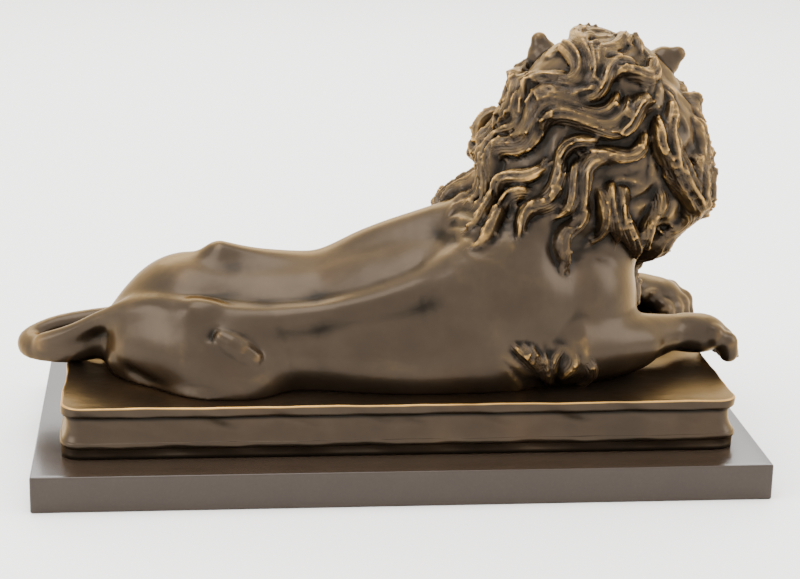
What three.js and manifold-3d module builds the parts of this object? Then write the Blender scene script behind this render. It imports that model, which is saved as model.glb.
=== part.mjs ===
// A recumbent lion cast in bronze, on a moulded bronze plinth, on a polished stone slab.
// Millimetres, +Z up. The origin is the middle of the slab's underside.
// The lion lies along +X and turns its head to its left, towards +Y.
import * as THREE from 'three';
import { mergeVertices } from 'three/addons/utils/BufferGeometryUtils.js';
import Module from 'manifold-3d';

// The stone slab
const SLAB_LENGTH = 400;
const SLAB_DEPTH = 208;
const SLAB_HEIGHT = 20;
const SLAB_CORNER = 1.5; // radius of its upright corners
const SLAB_CHAMFER = 1;

// The plinth: a band and a ridge at the foot, a hollow cove, and a fascia with a sharp top edge
const PLINTH_LENGTH = 373; // over the ridge, its widest moulding
const PLINTH_DEPTH = 162; // over the ridge
const PLINTH_HEIGHT = 29;
const PLINTH_CORNER = 13; // radius of its upright corners
const FASCIA_HEIGHT = 6.5;
const FASCIA_SETBACK = 1.5; // behind the ridge
const EDGE_BREAK = 0.5; // small bevel of the top edge
const COVE_DEPTH = 2.4; // of its deepest line behind the fascia
const RIDGE_HEIGHT = 8; // of the ridge's crest above the slab
const RIDGE_ROUND = 1.6; // half the height of the ridge's nose
const BAND_SETBACK = 1.4; // foot of the lower band behind the ridge

// The lion
const LION_HEIGHT = 194; // crown of the mane above the plinth
const FACE_TURN = 80; // degrees from the body's axis round to the direction of the face
const FOOT_DROP = 5; // how far a paw past the plinth's end may hang below its top
const LION_FACES = 8600; // triangles that the lion is thinned to

// The lion is drawn at this height, inside this box, and then brought to LION_HEIGHT
const DRAWING = {
  height: 194,
  low: [-222, -84],
  high: [218, 104, 206],
  cell: 3.2, // grid step of the sculpted surface
  head: [120, 24, 135], // middle of the skull
};
const MANE_LOCK = { length: 50, halfWidth: 5.2, halfThickness: 6.4 };
const ELBOW_TUFT = { length: 34, halfWidth: 3.4, halfThickness: 3.2 };
const ROOT_SPACING = 12; // between the roots in a row
const ROW_SPACING = 21; // between rows of roots
const WAVE_LENGTH = 40; // of the waves in which the hair lies

function length3(x, y, z) {
  return Math.sqrt(x * x + y * y + z * z);
}

// Shaping tools: each returns a form, whose distance is negative inside it, and a ball that holds it

function ellipsoid(centre, radii, turn = 0) {
  const [cx, cy, cz] = centre;
  const [a, b, c] = radii;
  const cos = Math.cos(THREE.MathUtils.degToRad(turn));
  const sin = Math.sin(THREE.MathUtils.degToRad(turn));
  const distance = (x, y, z) => {
    const u = (cos * (x - cx) + sin * (y - cy)) / a;
    const v = (cos * (y - cy) - sin * (x - cx)) / b;
    const w = (z - cz) / c;
    const near = length3(u, v, w);
    const slope = length3(u / a, v / b, w / c) + 1e-9;
    return (near * (near - 1)) / slope;
  };
  return { distance, centre, reach: Math.max(a, b, c) };
}

// A chain of tapering round rods through points [x, y, z, radius]
function limb(points) {
  const centre = [0, 1, 2].map((axis) => points.reduce((sum, point) => sum + point[axis], 0) / points.length);
  const reach = Math.max(...points.map(([x, y, z, r]) => r + length3(x - centre[0], y - centre[1], z - centre[2])));
  const distance = (x, y, z) => {
    let best = Infinity;
    for (let i = 1; i < points.length; i += 1) {
      const [ax, ay, az, ar] = points[i - 1];
      const [bx, by, bz, br] = points[i];
      const dx = bx - ax;
      const dy = by - ay;
      const dz = bz - az;
      const along = ((x - ax) * dx + (y - ay) * dy + (z - az) * dz) / (dx * dx + dy * dy + dz * dz);
      const t = Math.min(Math.max(along, 0), 1);
      const gap = length3(x - ax - t * dx, y - ay - t * dy, z - az - t * dz) - ar - t * (br - ar);
      best = Math.min(best, gap);
    }
    return best;
  };
  return { distance, centre, reach };
}

// Union of two distances with a fillet about as wide as the softness
function blend(a, b, softness) {
  const overlap = Math.max(softness - Math.abs(a - b), 0);
  return Math.min(a, b) - (overlap * overlap) / (4 * softness);
}

// A limb that bends smoothly through its points, in so many rods from each to the next
function supple(points, steps = 3) {
  const curve = new THREE.CatmullRomCurve3(points.map(([x, y, z]) => new THREE.Vector3(x, y, z)));
  const last = points.length - 1;
  const rods = [];
  for (let i = 0; i <= steps * last; i += 1) {
    const from = Math.min(Math.floor(i / steps), last - 1);
    const radius = THREE.MathUtils.lerp(points[from][3], points[from + 1][3], i / steps - from);
    rods.push([...curve.getPoint(i / (steps * last)).toArray(), radius]);
  }
  return limb(rods);
}

// The part of a form below a height, with its edge rounded off
function capped(form, height, softness) {
  return { ...form, distance: (x, y, z) => -blend(-form.distance(x, y, z), height - z, softness) };
}

function smoothstep(from, to, value) {
  const t = Math.min(Math.max((value - from) / (to - from), 0), 1);
  return t * t * (3 - 2 * t);
}

// The same small disorder on every run, from -1 to 1
function scatter(seed) {
  const wave = Math.sin(seed * 12.9898) * 43758.5453;
  return 2 * (wave - Math.floor(wave)) - 1;
}

// The lion's masses, in the order in which they are blended or cut away

const masses = [];

function add(form, softness, cut = false) {
  masses.push({ ...form, softness, cut });
}

function skin(x, y, z) {
  const far = 1000;
  let depth = far;
  for (const { distance, centre, reach, softness, cut } of masses) {
    const ball = length3(x - centre[0], y - centre[1], z - centre[2]) - reach;
    if (cut && ball < softness - depth) {
      depth = -blend(-depth, distance(x, y, z), softness);
    } else if (!cut && ball < depth + softness) {
      depth = blend(depth, distance(x, y, z), softness);
    }
  }
  return depth;
}

function addTrunk() {
  const barrel = [
    [-114, 0, 13, 47],
    [-62, 0, 9, 52],
    [-35, 0, 9, 54],
    [0, 0, 11, 62],
    [45, 0, 21, 64],
    [85, 2, 31, 54],
  ];
  const spine = [
    [-98, 2, 63, 7],
    [-72, 2, 56, 7],
    [-40, 2, 54, 6],
    [-12, 3, 67, 9],
    [25, 2, 77, 13],
  ];
  add(supple(barrel), 1);
  add(ellipsoid([-115, 2, 28], [34, 39, 33]), 10);
  add(supple(spine), 14);
  add(ellipsoid([102, 2, 39], [35, 46, 46]), 16);
}

// A wall from haunch to shoulder under a ridge that rises along the ribs; on the near side the
// ridge runs on behind the hip as a crest down to the tail
function addFlank(side) {
  const lift = side > 0 ? 5 : 0; // the far hip lies higher
  const wall = [
    [-140, 22, 20, 15],
    [-112, 38, 20, 18],
    [-80, 39, 19, 19],
    [-45, 38, 18, 19.5],
    [-5, 44, 18, 20],
    [45, 42, 20, 20],
  ];
  const crest = [
    [-198, -5, 11.5, 4],
    [-180, 4, 20, 4.5],
    [-165, 12, 29, 5],
    [-152, 20, 36, 5],
    [-136, 31, 41, 5],
    [-115, 41, 42, 5],
  ];
  const ridge = [
    [-124, 37, 36, 5],
    [-104, 43, 39, 5],
    [-77, 44.5, 37.5, 5],
    [-39, 45, 41.5, 5],
    [0, 46, 51, 6],
    [28, 43, 61, 8],
  ];
  const sided = (points) => supple(points.map(([x, y, z, r]) => [x, y * side, z, r]));
  add(sided(wall), 14);
  if (side < 0) {
    add(sided(crest), 9);
  }
  add(sided(ridge), 9);
  add(capped(ellipsoid([-111.5, 21.2 * side, -2], [56.6, 34.5, 58], 47.5 * side), 39, 14), 12);
  add(ellipsoid([-108 + lift, 42 * side, 42 + 1.5 * lift], [8, 5, 5]), 8);
  add(ellipsoid([56, 42 * side, 43], [36, 24, 44]), 16);
}

// Four toes fanned in front of a wrist, each with a knuckle, a joint, a pad and a claw
function addPaw(wrist, turn, size) {
  const cos = size * Math.cos(THREE.MathUtils.degToRad(turn));
  const sin = size * Math.sin(THREE.MathUtils.degToRad(turn));
  const place = (ahead, left, up, radius) => [
    wrist[0] + cos * ahead - sin * left,
    wrist[1] + sin * ahead + cos * left,
    wrist[2] + size * up,
    size * radius,
  ];
  add(ellipsoid(place(8, 0, 0, 0), [16 * size, 14 * size, 10 * size], turn), 6);
  for (let toe = 0; toe < 4; toe += 1) {
    const across = toe - 1.5;
    const reach = 1 - 0.4 * Math.abs(across);
    const knuckle = place(12 + 3 * reach, 6.9 * across, 0.6 + reach, 6);
    const between = place(15 + 3.2 * reach, 7.1 * across, -0.8 + 0.5 * reach, 5);
    const joint = place(18.5 + 3.5 * reach, 7.3 * across, -3, 6);
    const pad = place(20 + 3.5 * reach, 7.4 * across, -8.6, 5);
    const claw = place(24 + 3.5 * reach, 7.4 * across, -7.5, 1.8);
    const clawTip = place(25.5 + 3.5 * reach, 7.4 * across, -11.5, 1);
    add(limb([knuckle, between, joint, pad]), 2);
    add(limb([claw, clawTip]), 0.8);
  }
}

// The place on the near side at this length and height, moved outwards by out
function nearWall(x, z, out = 0) {
  let y = DRAWING.low[1];
  while (skin(x, y, z) > 0) {
    y += 0.25;
  }
  return [x, y - out, z];
}

// The near leg is folded: a groove undercuts the haunch above the foot, and a bar of bone crosses
// the knee
function addHindLegs() {
  add(limb([[-149, -37, 6.5, 2.5], [-138, -48, 2.5, 3.8], [-126, -60, -1, 3.5]]), 4, true);
  add(supple([[-152, -19, 8, 9.5], [-136, -36, 1, 7], [-108, -60, -1, 7.5], [-88, -59, -1, 8]]), 3);
  add(ellipsoid([-86, -50, 10], [20, 17, 18]), 8);
  const bar = [[-99, 33, 3.2], [-93, 30, 4.6], [-87, 26.5, 5.2], [-81, 22.5, 4]];
  const rods = bar.map(([x, z, r]) => [...nearWall(x, z, -1.2), r]);
  add(ellipsoid(nearWall(-103, 34.5, 1.5), [4, 3, 3]), 4, true);
  add(limb(rods), 3);
  add(ellipsoid([-86, 50, 10], [20, 17, 18]), 8);
  add(supple([[-152, 24, 9, 10], [-118, 52, 7, 12], [-84, 62, 6, 11], [-62, 66, 7, 9]]), 6);
  addPaw([-58, 66, 10], 4, 0.9);
}

function addForelegs() {
  const near = [
    [96, -40, 19, 22],
    [122, -30, 17, 19],
    [142, -19, 17, 14.5],
    [160, -8, 16.5, 11],
    [170, -3, 16, 9.8],
  ];
  const far = [
    [92, 48, 21, 24],
    [120, 58, 15, 18],
    [142, 67, 15, 14],
    [158, 73, 17, 12],
  ];
  add(supple(near, 4), 5);
  add(ellipsoid([133, -29, 15], [16, 9, 11]), 7);
  addPaw([171, -2, 14], 12, 1.12);
  add(supple(far, 4), 8);
  addPaw([160, 72, 17], -38, 1.2);
}

// The tail leaves the rump thick, loops over the plinth's end and lies back along the far haunch
function addTail() {
  const bends = [[-134, 0, 32], [-154, 0, 20], [-178, 3, 9.5], [-202, 14, 4], [-207, 28, 4.5],
    [-194, 41, 8], [-170, 47, 11], [-140, 55, 11], [-112, 67, 8], [-92, 72, 7]];
  const curve = new THREE.CatmullRomCurve3(bends.map((bend) => new THREE.Vector3(...bend)));
  const steps = 36;
  const rootRadius = 17.1;
  const endRadius = 6.6;
  const rods = curve.getPoints(steps).map((point, i) => {
    const radius = endRadius + (rootRadius - endRadius) * (1 - i / steps) ** 5;
    return [point.x, point.y, point.z, radius];
  });
  add(limb(rods), 7);
  add(ellipsoid([-76, 72, 8], [18, 6, 8]), 5);
}

function addMane() {
  add(ellipsoid([116, 3, 129], [56, 41, 50]), 8);
  add(ellipsoid([115, 5, 157], [39, 32, 31]), 12);
  add(ellipsoid([91, 0, 101], [41, 44, 36]), 12);
  add(ellipsoid([66, -1, 80], [36, 49, 25]), 12);
  add(ellipsoid([123, 6, 92], [32, 38, 37]), 12);
  add(ellipsoid([153, -2, 110], [20, 27, 32]), 8);
  add(ellipsoid([65, 34, 122], [13, 20, 13]), 6);
}

// Head directions: ahead along the face, left of the lion, and up
const faceCos = Math.cos(THREE.MathUtils.degToRad(FACE_TURN));
const faceSin = Math.sin(THREE.MathUtils.degToRad(FACE_TURN));

function onHead(ahead, left, up, radius = 0) {
  const [x, y, z] = DRAWING.head;
  return [x + faceCos * ahead - faceSin * left, y + faceSin * ahead + faceCos * left, z + up, radius];
}

function fromHead(x, y, z) {
  const dx = x - DRAWING.head[0];
  const dy = y - DRAWING.head[1];
  return { ahead: faceCos * dx + faceSin * dy, left: faceCos * dy - faceSin * dx, up: z - DRAWING.head[2] };
}

function addHead() {
  add(ellipsoid(onHead(0, 0, 8), [34, 30, 33], FACE_TURN), 6);
  add(limb([onHead(14, 0, 13, 17), onHead(34, 0, 8, 12.5), onHead(54, 0, 3, 10.5)]), 6);
  add(limb([onHead(16, 0, -8, 22), onHead(44, 0, -9, 15)]), 6);
  for (const side of [-1, 1]) {
    add(ellipsoid(onHead(16, 21 * side, -8), [17, 13, 18], FACE_TURN), 8);
    add(ellipsoid(onHead(51, 8 * side, -8), [11, 9, 9.5], FACE_TURN), 3);
    add(ellipsoid(onHead(28, 14 * side, 19), [9, 10, 6], FACE_TURN), 5);
    add(ellipsoid(onHead(34, 13 * side, 10.5), [6, 8, 6], FACE_TURN), 3, true);
    add(ellipsoid(onHead(29.5, 13.2 * side, 10.3), [5.6, 5.6, 5], FACE_TURN), 0.6);
  }
  add(ellipsoid(onHead(44, 0, -25), [13, 11, 8.5], FACE_TURN), 4);
  add(ellipsoid(onHead(61, 0, 4.5), [5, 8.5, 5.5], FACE_TURN), 1.5);
}

// Each ear is a rounded cone, hollowed on the side of the face: the left one stands, and the right
// one leans out
function addEars() {
  add(limb([onHead(-4, 30, 27, 10), onHead(-4, 33.5, 38, 9), onHead(-4, 36, 46.5, 4.8)]), 2);
  add(ellipsoid(onHead(6.5, 34.5, 44), [5, 3.6, 6], FACE_TURN), 1.5, true);
  add(limb([onHead(-6, -27, 31, 10), onHead(-8, -35, 37, 9), onHead(-9, -42.5, 42, 4.6)]), 2);
  add(ellipsoid(onHead(2, -36, 39), [5, 5, 4.5], FACE_TURN), 1.5, true);
}

addTrunk();
addFlank(-1);
addFlank(1);
addHindLegs();
addForelegs();
addTail();
addMane();
addHead();
addEars();

// Locks of the mane: each root is on the skin, and the lock is combed along it

function skinNormal(point) {
  const step = 1;
  const { x, y, z } = point;
  return new THREE.Vector3(
    skin(x + step, y, z) - skin(x - step, y, z),
    skin(x, y + step, z) - skin(x, y - step, z),
    skin(x, y, z + step) - skin(x, y, z - step),
  ).normalize();
}

// The way the hair falls: off the face all round; elsewhere back and down, steeper below, and
// straight down in front
function hairFlow(point) {
  const { ahead, left, up } = fromHead(point.x, point.y, point.z);
  const around = Math.hypot(left, up) + 1e-6;
  const steepness = 22 + (8 + 50 * smoothstep(50, 85, point.x)) * smoothstep(135, 85, point.z);
  const steep = THREE.MathUtils.degToRad(steepness);
  const flow = new THREE.Vector3(-Math.cos(steep), -0.1, -Math.sin(steep));
  const down = new THREE.Vector3(0.1, 0, -1).normalize();
  const overCrown = new THREE.Vector3(-0.35, -0.9, -0.25);
  const offFace = new THREE.Vector3(
    (-faceSin * left) / around - 0.6 * faceCos,
    (faceCos * left) / around - 0.6 * faceSin,
    up / around - 0.35,
  );
  flow.lerp(down, smoothstep(132, 146, point.x));
  flow.lerp(down, smoothstep(58, 44, point.z));
  flow.lerp(overCrown, smoothstep(164, 182, point.z));
  return flow.lerp(offFace, smoothstep(-2, 14, ahead)).normalize();
}

// Smooth noise between -1 and 1, with one scattered number at each whole coordinate
function cloud(x, y, z) {
  const cell = [x, y, z].map(Math.floor);
  const ease = [x, y, z].map((value, axis) => smoothstep(0, 1, value - cell[axis]));
  let total = 0;
  for (let c = 0; c < 8; c += 1) {
    const corner = [c & 1, (c >> 1) & 1, (c >> 2) & 1];
    const weight = corner.reduce((product, bit, axis) => product * (bit ? ease[axis] : 1 - ease[axis]), 1);
    total += weight * scatter((cell[0] + corner[0]) + 57 * (cell[1] + corner[1]) + 113 * (cell[2] + corner[2]));
  }
  return total;
}

// Where a point is on its wave: the waves run back and down, and wander a little
function wavePhase({ x, y, z }) {
  const wander = 38; // size of the patches in which the waves shift
  const along = -0.8 * x + 0.15 * y - 0.6 * z;
  return (2 * Math.PI * along) / WAVE_LENGTH + 1.6 * cloud(x / wander, y / wander, z / wander);
}

// The combing direction along the skin, swung from side to side by the wave
function wavyFlow(point, out) {
  const widestSwing = THREE.MathUtils.degToRad(42);
  const along = hairFlow(point);
  along.addScaledVector(out, -along.dot(out)).normalize();
  return along.applyAxisAngle(out, widestSwing * Math.sin(wavePhase(point)));
}

function settle(point, normal, height) {
  for (let pass = 0; pass < 3; pass += 1) {
    point.addScaledVector(normal, height - skin(point.x, point.y, point.z));
  }
}

// A tapering lock, sunk at the root, widest at the middle and pointed at the tip
function combLock(root, { length, halfWidth, halfThickness }, size) {
  const steps = 10;
  const point = root.clone();
  const nodes = [];
  for (let i = 0; i <= steps; i += 1) {
    const t = i / steps;
    const out = skinNormal(point);
    const along = wavyFlow(point, out);
    const grown = smoothstep(0, 0.35, t);
    const crown = 1 - 0.45 * smoothstep(174, 190, point.z); // flatter on top of the head
    const swell = (1 + 0.25 * Math.sin(wavePhase(point) + 0.8)) * crown;
    const thickness = halfThickness * (0.5 + 0.5 * size) * swell;
    const lift = 1.25 * smoothstep(0, 0.3, t) - 1 - 0.5 * smoothstep(0.75, 1, t);
    nodes.push({
      centre: point.clone().addScaledVector(out, thickness * lift),
      out,
      side: new THREE.Vector3().crossVectors(along, out),
      halfWidth: halfWidth * size * (0.25 + 0.75 * grown) * (1 - 0.85 * smoothstep(0.5, 1, t)),
      halfThickness: thickness * (0.3 + 0.7 * grown) * (1 - 0.7 * smoothstep(0.6, 1, t)),
    });
    point.addScaledVector(along, (length * size) / steps);
    settle(point, out, 0);
  }
  return nodes;
}

// Marches in from outside towards the mane's middle until it meets the skin
function findRoot(middle, direction) {
  const reach = 120;
  const point = middle.clone().addScaledVector(direction, reach);
  for (let travelled = 0; travelled < reach; travelled += 1) {
    if (skin(point.x, point.y, point.z) <= 0) {
      return point;
    }
    point.addScaledVector(direction, -1);
  }
  return null;
}

function isManeRoot(point) {
  const { ahead, left, up } = fromHead(point.x, point.y, point.z);
  const onFace = ahead > 14 && Math.hypot(left, up + 6) < 35;
  const onEar = length3(Math.abs(left) - 36, up - 42, ahead + 6) < 10;
  return point.x > 52 && !onFace && !onEar;
}

// Rows of roots: circles round the crown, then rings down to the chest, which end higher on the
// near shoulder than on the far one
function combMane() {
  const locks = [];
  const ringTop = 150;
  const lowest = 60;
  const crownRadius = 40;
  const rows = [];
  for (let climb = THREE.MathUtils.degToRad(80); climb > 0; climb -= ROW_SPACING / crownRadius) {
    rows.push({ climb, height: ringTop, middle: 119, girth: 42 * Math.cos(climb) });
  }
  for (let height = ringTop; height > lowest; height -= 0.9 * ROW_SPACING) {
    rows.push({ climb: 0, height, middle: 86 + 32 * smoothstep(lowest, 130, height), girth: 50 });
  }
  rows.forEach(({ climb, height, middle, girth }, row) => {
    const count = Math.round((2 * Math.PI * girth) / ROOT_SPACING);
    for (let i = 0; i < count; i += 1) {
      const seed = 100 * row + i;
      const angle = (2 * Math.PI * (i + 0.5 * (row % 2) + 0.2 * scatter(seed))) / count;
      const level = height + 0.3 * ROW_SPACING * scatter(seed + 4);
      const rise = climb + 0.08 * scatter(seed + 2);
      const farther = 28 * smoothstep(0, 0.6, Math.sin(angle));
      const edge = 102 - farther - 18 * smoothstep(0.45, 0.9, Math.abs(Math.cos(angle)));
      if (level > edge) {
        const direction = new THREE.Vector3(Math.cos(angle), Math.sin(angle), Math.tan(rise)).normalize();
        const root = findRoot(new THREE.Vector3(middle, 3, level), direction);
        if (root && isManeRoot(root)) {
          const size = (1 + 0.25 * scatter(seed + 3)) * (1 + 0.3 * smoothstep(130, 152, root.x));
          locks.push(combLock(root, MANE_LOCK, size));
        }
      }
    }
  });
  return locks;
}

// Tufts behind each elbow, reaching down to the plinth
function combElbow(side) {
  const locks = [];
  const count = 9;
  for (let i = 0; i < count; i += 1) {
    const seed = 5000 + 20 * side + i;
    const middle = new THREE.Vector3(57 + 5.5 * i, 0, 30 - 0.6 * i + 5 * scatter(seed));
    const root = findRoot(middle, new THREE.Vector3(0, side, 0));
    if (root) {
      locks.push(combLock(root, ELBOW_TUFT, 1 + 0.25 * scatter(seed + 3)));
    }
  }
  return locks;
}

const locks = [...combMane(), ...combElbow(-1), ...combElbow(1)];

// Distance to one lock: the offset from its nearest point, measured in half widths across
// and half thicknesses outwards
function lockDistance(nodes, point) {
  let best = Infinity;
  const span = new THREE.Vector3();
  const offset = new THREE.Vector3();
  for (let i = 1; i < nodes.length; i += 1) {
    const from = nodes[i - 1];
    const to = nodes[i];
    span.subVectors(to.centre, from.centre);
    offset.subVectors(point, from.centre);
    const t = THREE.MathUtils.clamp(offset.dot(span) / span.lengthSq(), 0, 1);
    offset.addScaledVector(span, -t);
    const halfWidth = from.halfWidth + t * (to.halfWidth - from.halfWidth);
    const halfThickness = from.halfThickness + t * (to.halfThickness - from.halfThickness);
    const across = offset.dot(from.side);
    const outwards = offset.dot(from.out);
    const ahead2 = Math.max(offset.lengthSq() - across * across - outwards * outwards, 0);
    const ratio = length3(across / halfWidth, outwards / halfThickness, Math.sqrt(ahead2) / halfThickness);
    best = Math.min(best, (ratio - 1) * halfThickness);
  }
  return best;
}

// The sculpted surface: distances on a grid, and one vertex in each cell that the skin crosses

function sampleGrid(low, high, cell) {
  const counts = [0, 1, 2].map((axis) => Math.ceil((high[axis] - low[axis]) / cell) + 1);
  const [nx, ny, nz] = counts;
  const values = new Float64Array(nx * ny * nz);
  const index = (i, j, k) => (i * ny + j) * nz + k;
  const place = (axis, step) => low[axis] + cell * step;
  const floor = low[2] + 1.5 * cell;
  for (let i = 0; i < nx; i += 1) {
    for (let j = 0; j < ny; j += 1) {
      for (let k = 0; k < nz; k += 1) {
        values[index(i, j, k)] = skin(place(0, i), place(1, j), place(2, k));
      }
    }
  }
  const point = new THREE.Vector3();
  const lockSoftness = 1.2;
  for (const nodes of locks) {
    const box = new THREE.Box3().setFromPoints(nodes.map((node) => node.centre));
    box.expandByScalar(1.5 * MANE_LOCK.halfWidth + 2 * cell);
    const first = box.min.toArray().map((v, axis) => Math.max(Math.floor((v - low[axis]) / cell), 0));
    const last = box.max.toArray().map((v, axis) => Math.min(Math.ceil((v - low[axis]) / cell), counts[axis] - 1));
    for (let i = first[0]; i <= last[0]; i += 1) {
      for (let j = first[1]; j <= last[1]; j += 1) {
        for (let k = first[2]; k <= last[2]; k += 1) {
          point.set(place(0, i), place(1, j), place(2, k));
          const at = index(i, j, k);
          values[at] = blend(values[at], lockDistance(nodes, point), lockSoftness);
        }
      }
    }
  }
  for (let i = 0; i < nx; i += 1) {
    for (let j = 0; j < ny; j += 1) {
      for (let k = 0; k < nz; k += 1) {
        const at = index(i, j, k);
        values[at] = Math.max(values[at], floor - place(2, k));
      }
    }
  }
  return { values, counts, index, low, cell };
}

const CORNERS = [...Array(8).keys()].map((c) => [c & 1, (c >> 1) & 1, (c >> 2) & 1]);
const EDGES = CORNERS.flatMap((corner, c) => [1, 2, 4].filter((bit) => !(c & bit)).map((bit) => [c, c | bit]));

// A cell is doubtful where its inside or its outside corners fall into two groups
function isDoubtful(signs) {
  const groups = (wanted) => {
    const members = CORNERS.map((corner, c) => c).filter((c) => ((signs >> c) & 1) === wanted);
    const reached = new Set(members.slice(0, 1));
    for (let pass = 0; pass < 8; pass += 1) {
      for (const [a, b] of EDGES) {
        if (members.includes(a) && members.includes(b) && (reached.has(a) || reached.has(b))) {
          reached.add(a).add(b);
        }
      }
    }
    return members.length > reached.size;
  };
  return groups(0) || groups(1);
}

const DOUBTFUL = [...Array(256).keys()].map(isDoubtful);

function eachCell(grid, visit) {
  const [nx, ny, nz] = grid.counts;
  for (let i = 0; i < nx - 1; i += 1) {
    for (let j = 0; j < ny - 1; j += 1) {
      for (let k = 0; k < nz - 1; k += 1) {
        let signs = 0;
        for (let c = 0; c < 8; c += 1) {
          const [di, dj, dk] = CORNERS[c];
          if (grid.values[grid.index(i + di, j + dj, k + dk)] < 0) {
            signs |= 1 << c;
          }
        }
        if (signs !== 0 && signs !== 255) {
          visit(i, j, k, signs);
        }
      }
    }
  }
}

// Fills doubtful cells, so that the surface never touches itself
function fillDoubtfulCells(grid) {
  let filled = 1;
  while (filled > 0) {
    filled = 0;
    eachCell(grid, (i, j, k, signs) => {
      if (DOUBTFUL[signs]) {
        filled += 1;
        for (const [di, dj, dk] of CORNERS) {
          const at = grid.index(i + di, j + dj, k + dk);
          grid.values[at] = Math.min(grid.values[at], -0.05 * grid.cell);
        }
      }
    });
  }
}

function surfaceNet(grid) {
  fillDoubtfulCells(grid);
  const cellVertex = new Map();
  const points = [];
  const { values, index, low, cell } = grid;
  eachCell(grid, (i, j, k, signs) => {
    const sum = [0, 0, 0];
    let crossings = 0;
    for (const [a, b] of EDGES) {
      if (((signs >> a) & 1) !== ((signs >> b) & 1)) {
        const [ai, aj, ak] = CORNERS[a];
        const [bi, bj, bk] = CORNERS[b];
        const va = values[index(i + ai, j + aj, k + ak)];
        const vb = values[index(i + bi, j + bj, k + bk)];
        const t = va / (va - vb);
        sum[0] += ai + t * (bi - ai);
        sum[1] += aj + t * (bj - aj);
        sum[2] += ak + t * (bk - ak);
        crossings += 1;
      }
    }
    cellVertex.set(index(i, j, k), points.length);
    points.push([i, j, k].map((step, axis) => low[axis] + cell * (step + sum[axis] / crossings)));
  });
  const faces = [];
  const quad = (a, b, c, d, flip) => {
    const [p, q, r, s] = [a, b, c, d].map((at) => cellVertex.get(at));
    faces.push(...(flip ? [[p, r, q], [p, s, r]] : [[p, q, r], [p, r, s]]));
  };
  const [nx, ny, nz] = grid.counts;
  for (let i = 1; i < nx - 1; i += 1) {
    for (let j = 1; j < ny - 1; j += 1) {
      for (let k = 1; k < nz - 1; k += 1) {
        const here = values[index(i, j, k)] < 0;
        if (here !== values[index(i + 1, j, k)] < 0) {
          quad(index(i, j - 1, k - 1), index(i, j, k - 1), index(i, j, k), index(i, j - 1, k), !here);
        }
        if (here !== values[index(i, j + 1, k)] < 0) {
          quad(index(i - 1, j, k - 1), index(i - 1, j, k), index(i, j, k), index(i, j, k - 1), !here);
        }
        if (here !== values[index(i, j, k + 1)] < 0) {
          quad(index(i - 1, j - 1, k), index(i, j - 1, k), index(i, j, k), index(i - 1, j, k), !here);
        }
      }
    }
  }
  return { points, faces };
}

// Keeps the largest connected surface
function largestBody({ points, faces }) {
  const group = points.map((point, i) => i);
  const root = (i) => {
    let at = i;
    while (group[at] !== at) {
      group[at] = group[group[at]];
      at = group[at];
    }
    return at;
  };
  for (const [a, b, c] of faces) {
    group[root(b)] = root(a);
    group[root(c)] = root(a);
  }
  const sizes = new Map();
  for (const [a] of faces) {
    sizes.set(root(a), (sizes.get(root(a)) ?? 0) + 1);
  }
  const largest = [...sizes].sort((a, b) => b[1] - a[1])[0][0];
  return { points, faces: faces.filter(([a]) => root(a) === largest) };
}

// Thinning by edge collapse: an edge goes where its new point is nearest to the planes of the
// faces around it, summed as a quadric of ten numbers

function faceNormal(p, q, r) {
  const ux = q[0] - p[0];
  const uy = q[1] - p[1];
  const uz = q[2] - p[2];
  const vx = r[0] - p[0];
  const vy = r[1] - p[1];
  const vz = r[2] - p[2];
  return [uy * vz - uz * vy, uz * vx - ux * vz, ux * vy - uy * vx];
}

function planeQuadric(p, q, r) {
  const [nx, ny, nz] = faceNormal(p, q, r);
  const area = length3(nx, ny, nz) + 1e-12;
  const [a, b, c] = [nx / area, ny / area, nz / area];
  const d = -(a * p[0] + b * p[1] + c * p[2]);
  return [a * a, a * b, a * c, a * d, b * b, b * c, b * d, c * c, c * d, d * d].map((term) => term * area);
}

function quadricError(q, [x, y, z]) {
  return q[0] * x * x + 2 * q[1] * x * y + 2 * q[2] * x * z + 2 * q[3] * x + q[4] * y * y
    + 2 * q[5] * y * z + 2 * q[6] * y + q[7] * z * z + 2 * q[8] * z + q[9];
}

function bestPoint(q, p, r) {
  const determinant = q[0] * (q[4] * q[7] - q[5] * q[5]) - q[1] * (q[1] * q[7] - q[5] * q[2])
    + q[2] * (q[1] * q[5] - q[4] * q[2]);
  const middle = [0, 1, 2].map((axis) => (p[axis] + r[axis]) / 2);
  const span = length3(p[0] - r[0], p[1] - r[1], p[2] - r[2]);
  if (Math.abs(determinant) > 1e-3 * (q[0] + q[4] + q[7]) ** 3) {
    const x = -(q[3] * (q[4] * q[7] - q[5] * q[5]) - q[1] * (q[6] * q[7] - q[5] * q[8])
      + q[2] * (q[6] * q[5] - q[4] * q[8])) / determinant;
    const y = -(q[0] * (q[6] * q[7] - q[8] * q[5]) - q[3] * (q[1] * q[7] - q[5] * q[2])
      + q[2] * (q[1] * q[8] - q[6] * q[2])) / determinant;
    const z = -(q[0] * (q[4] * q[8] - q[5] * q[6]) - q[1] * (q[1] * q[8] - q[6] * q[2])
      + q[3] * (q[1] * q[5] - q[4] * q[2])) / determinant;
    if (length3(x - middle[0], y - middle[1], z - middle[2]) < span) {
      return [x, y, z];
    }
  }
  return middle;
}

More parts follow.
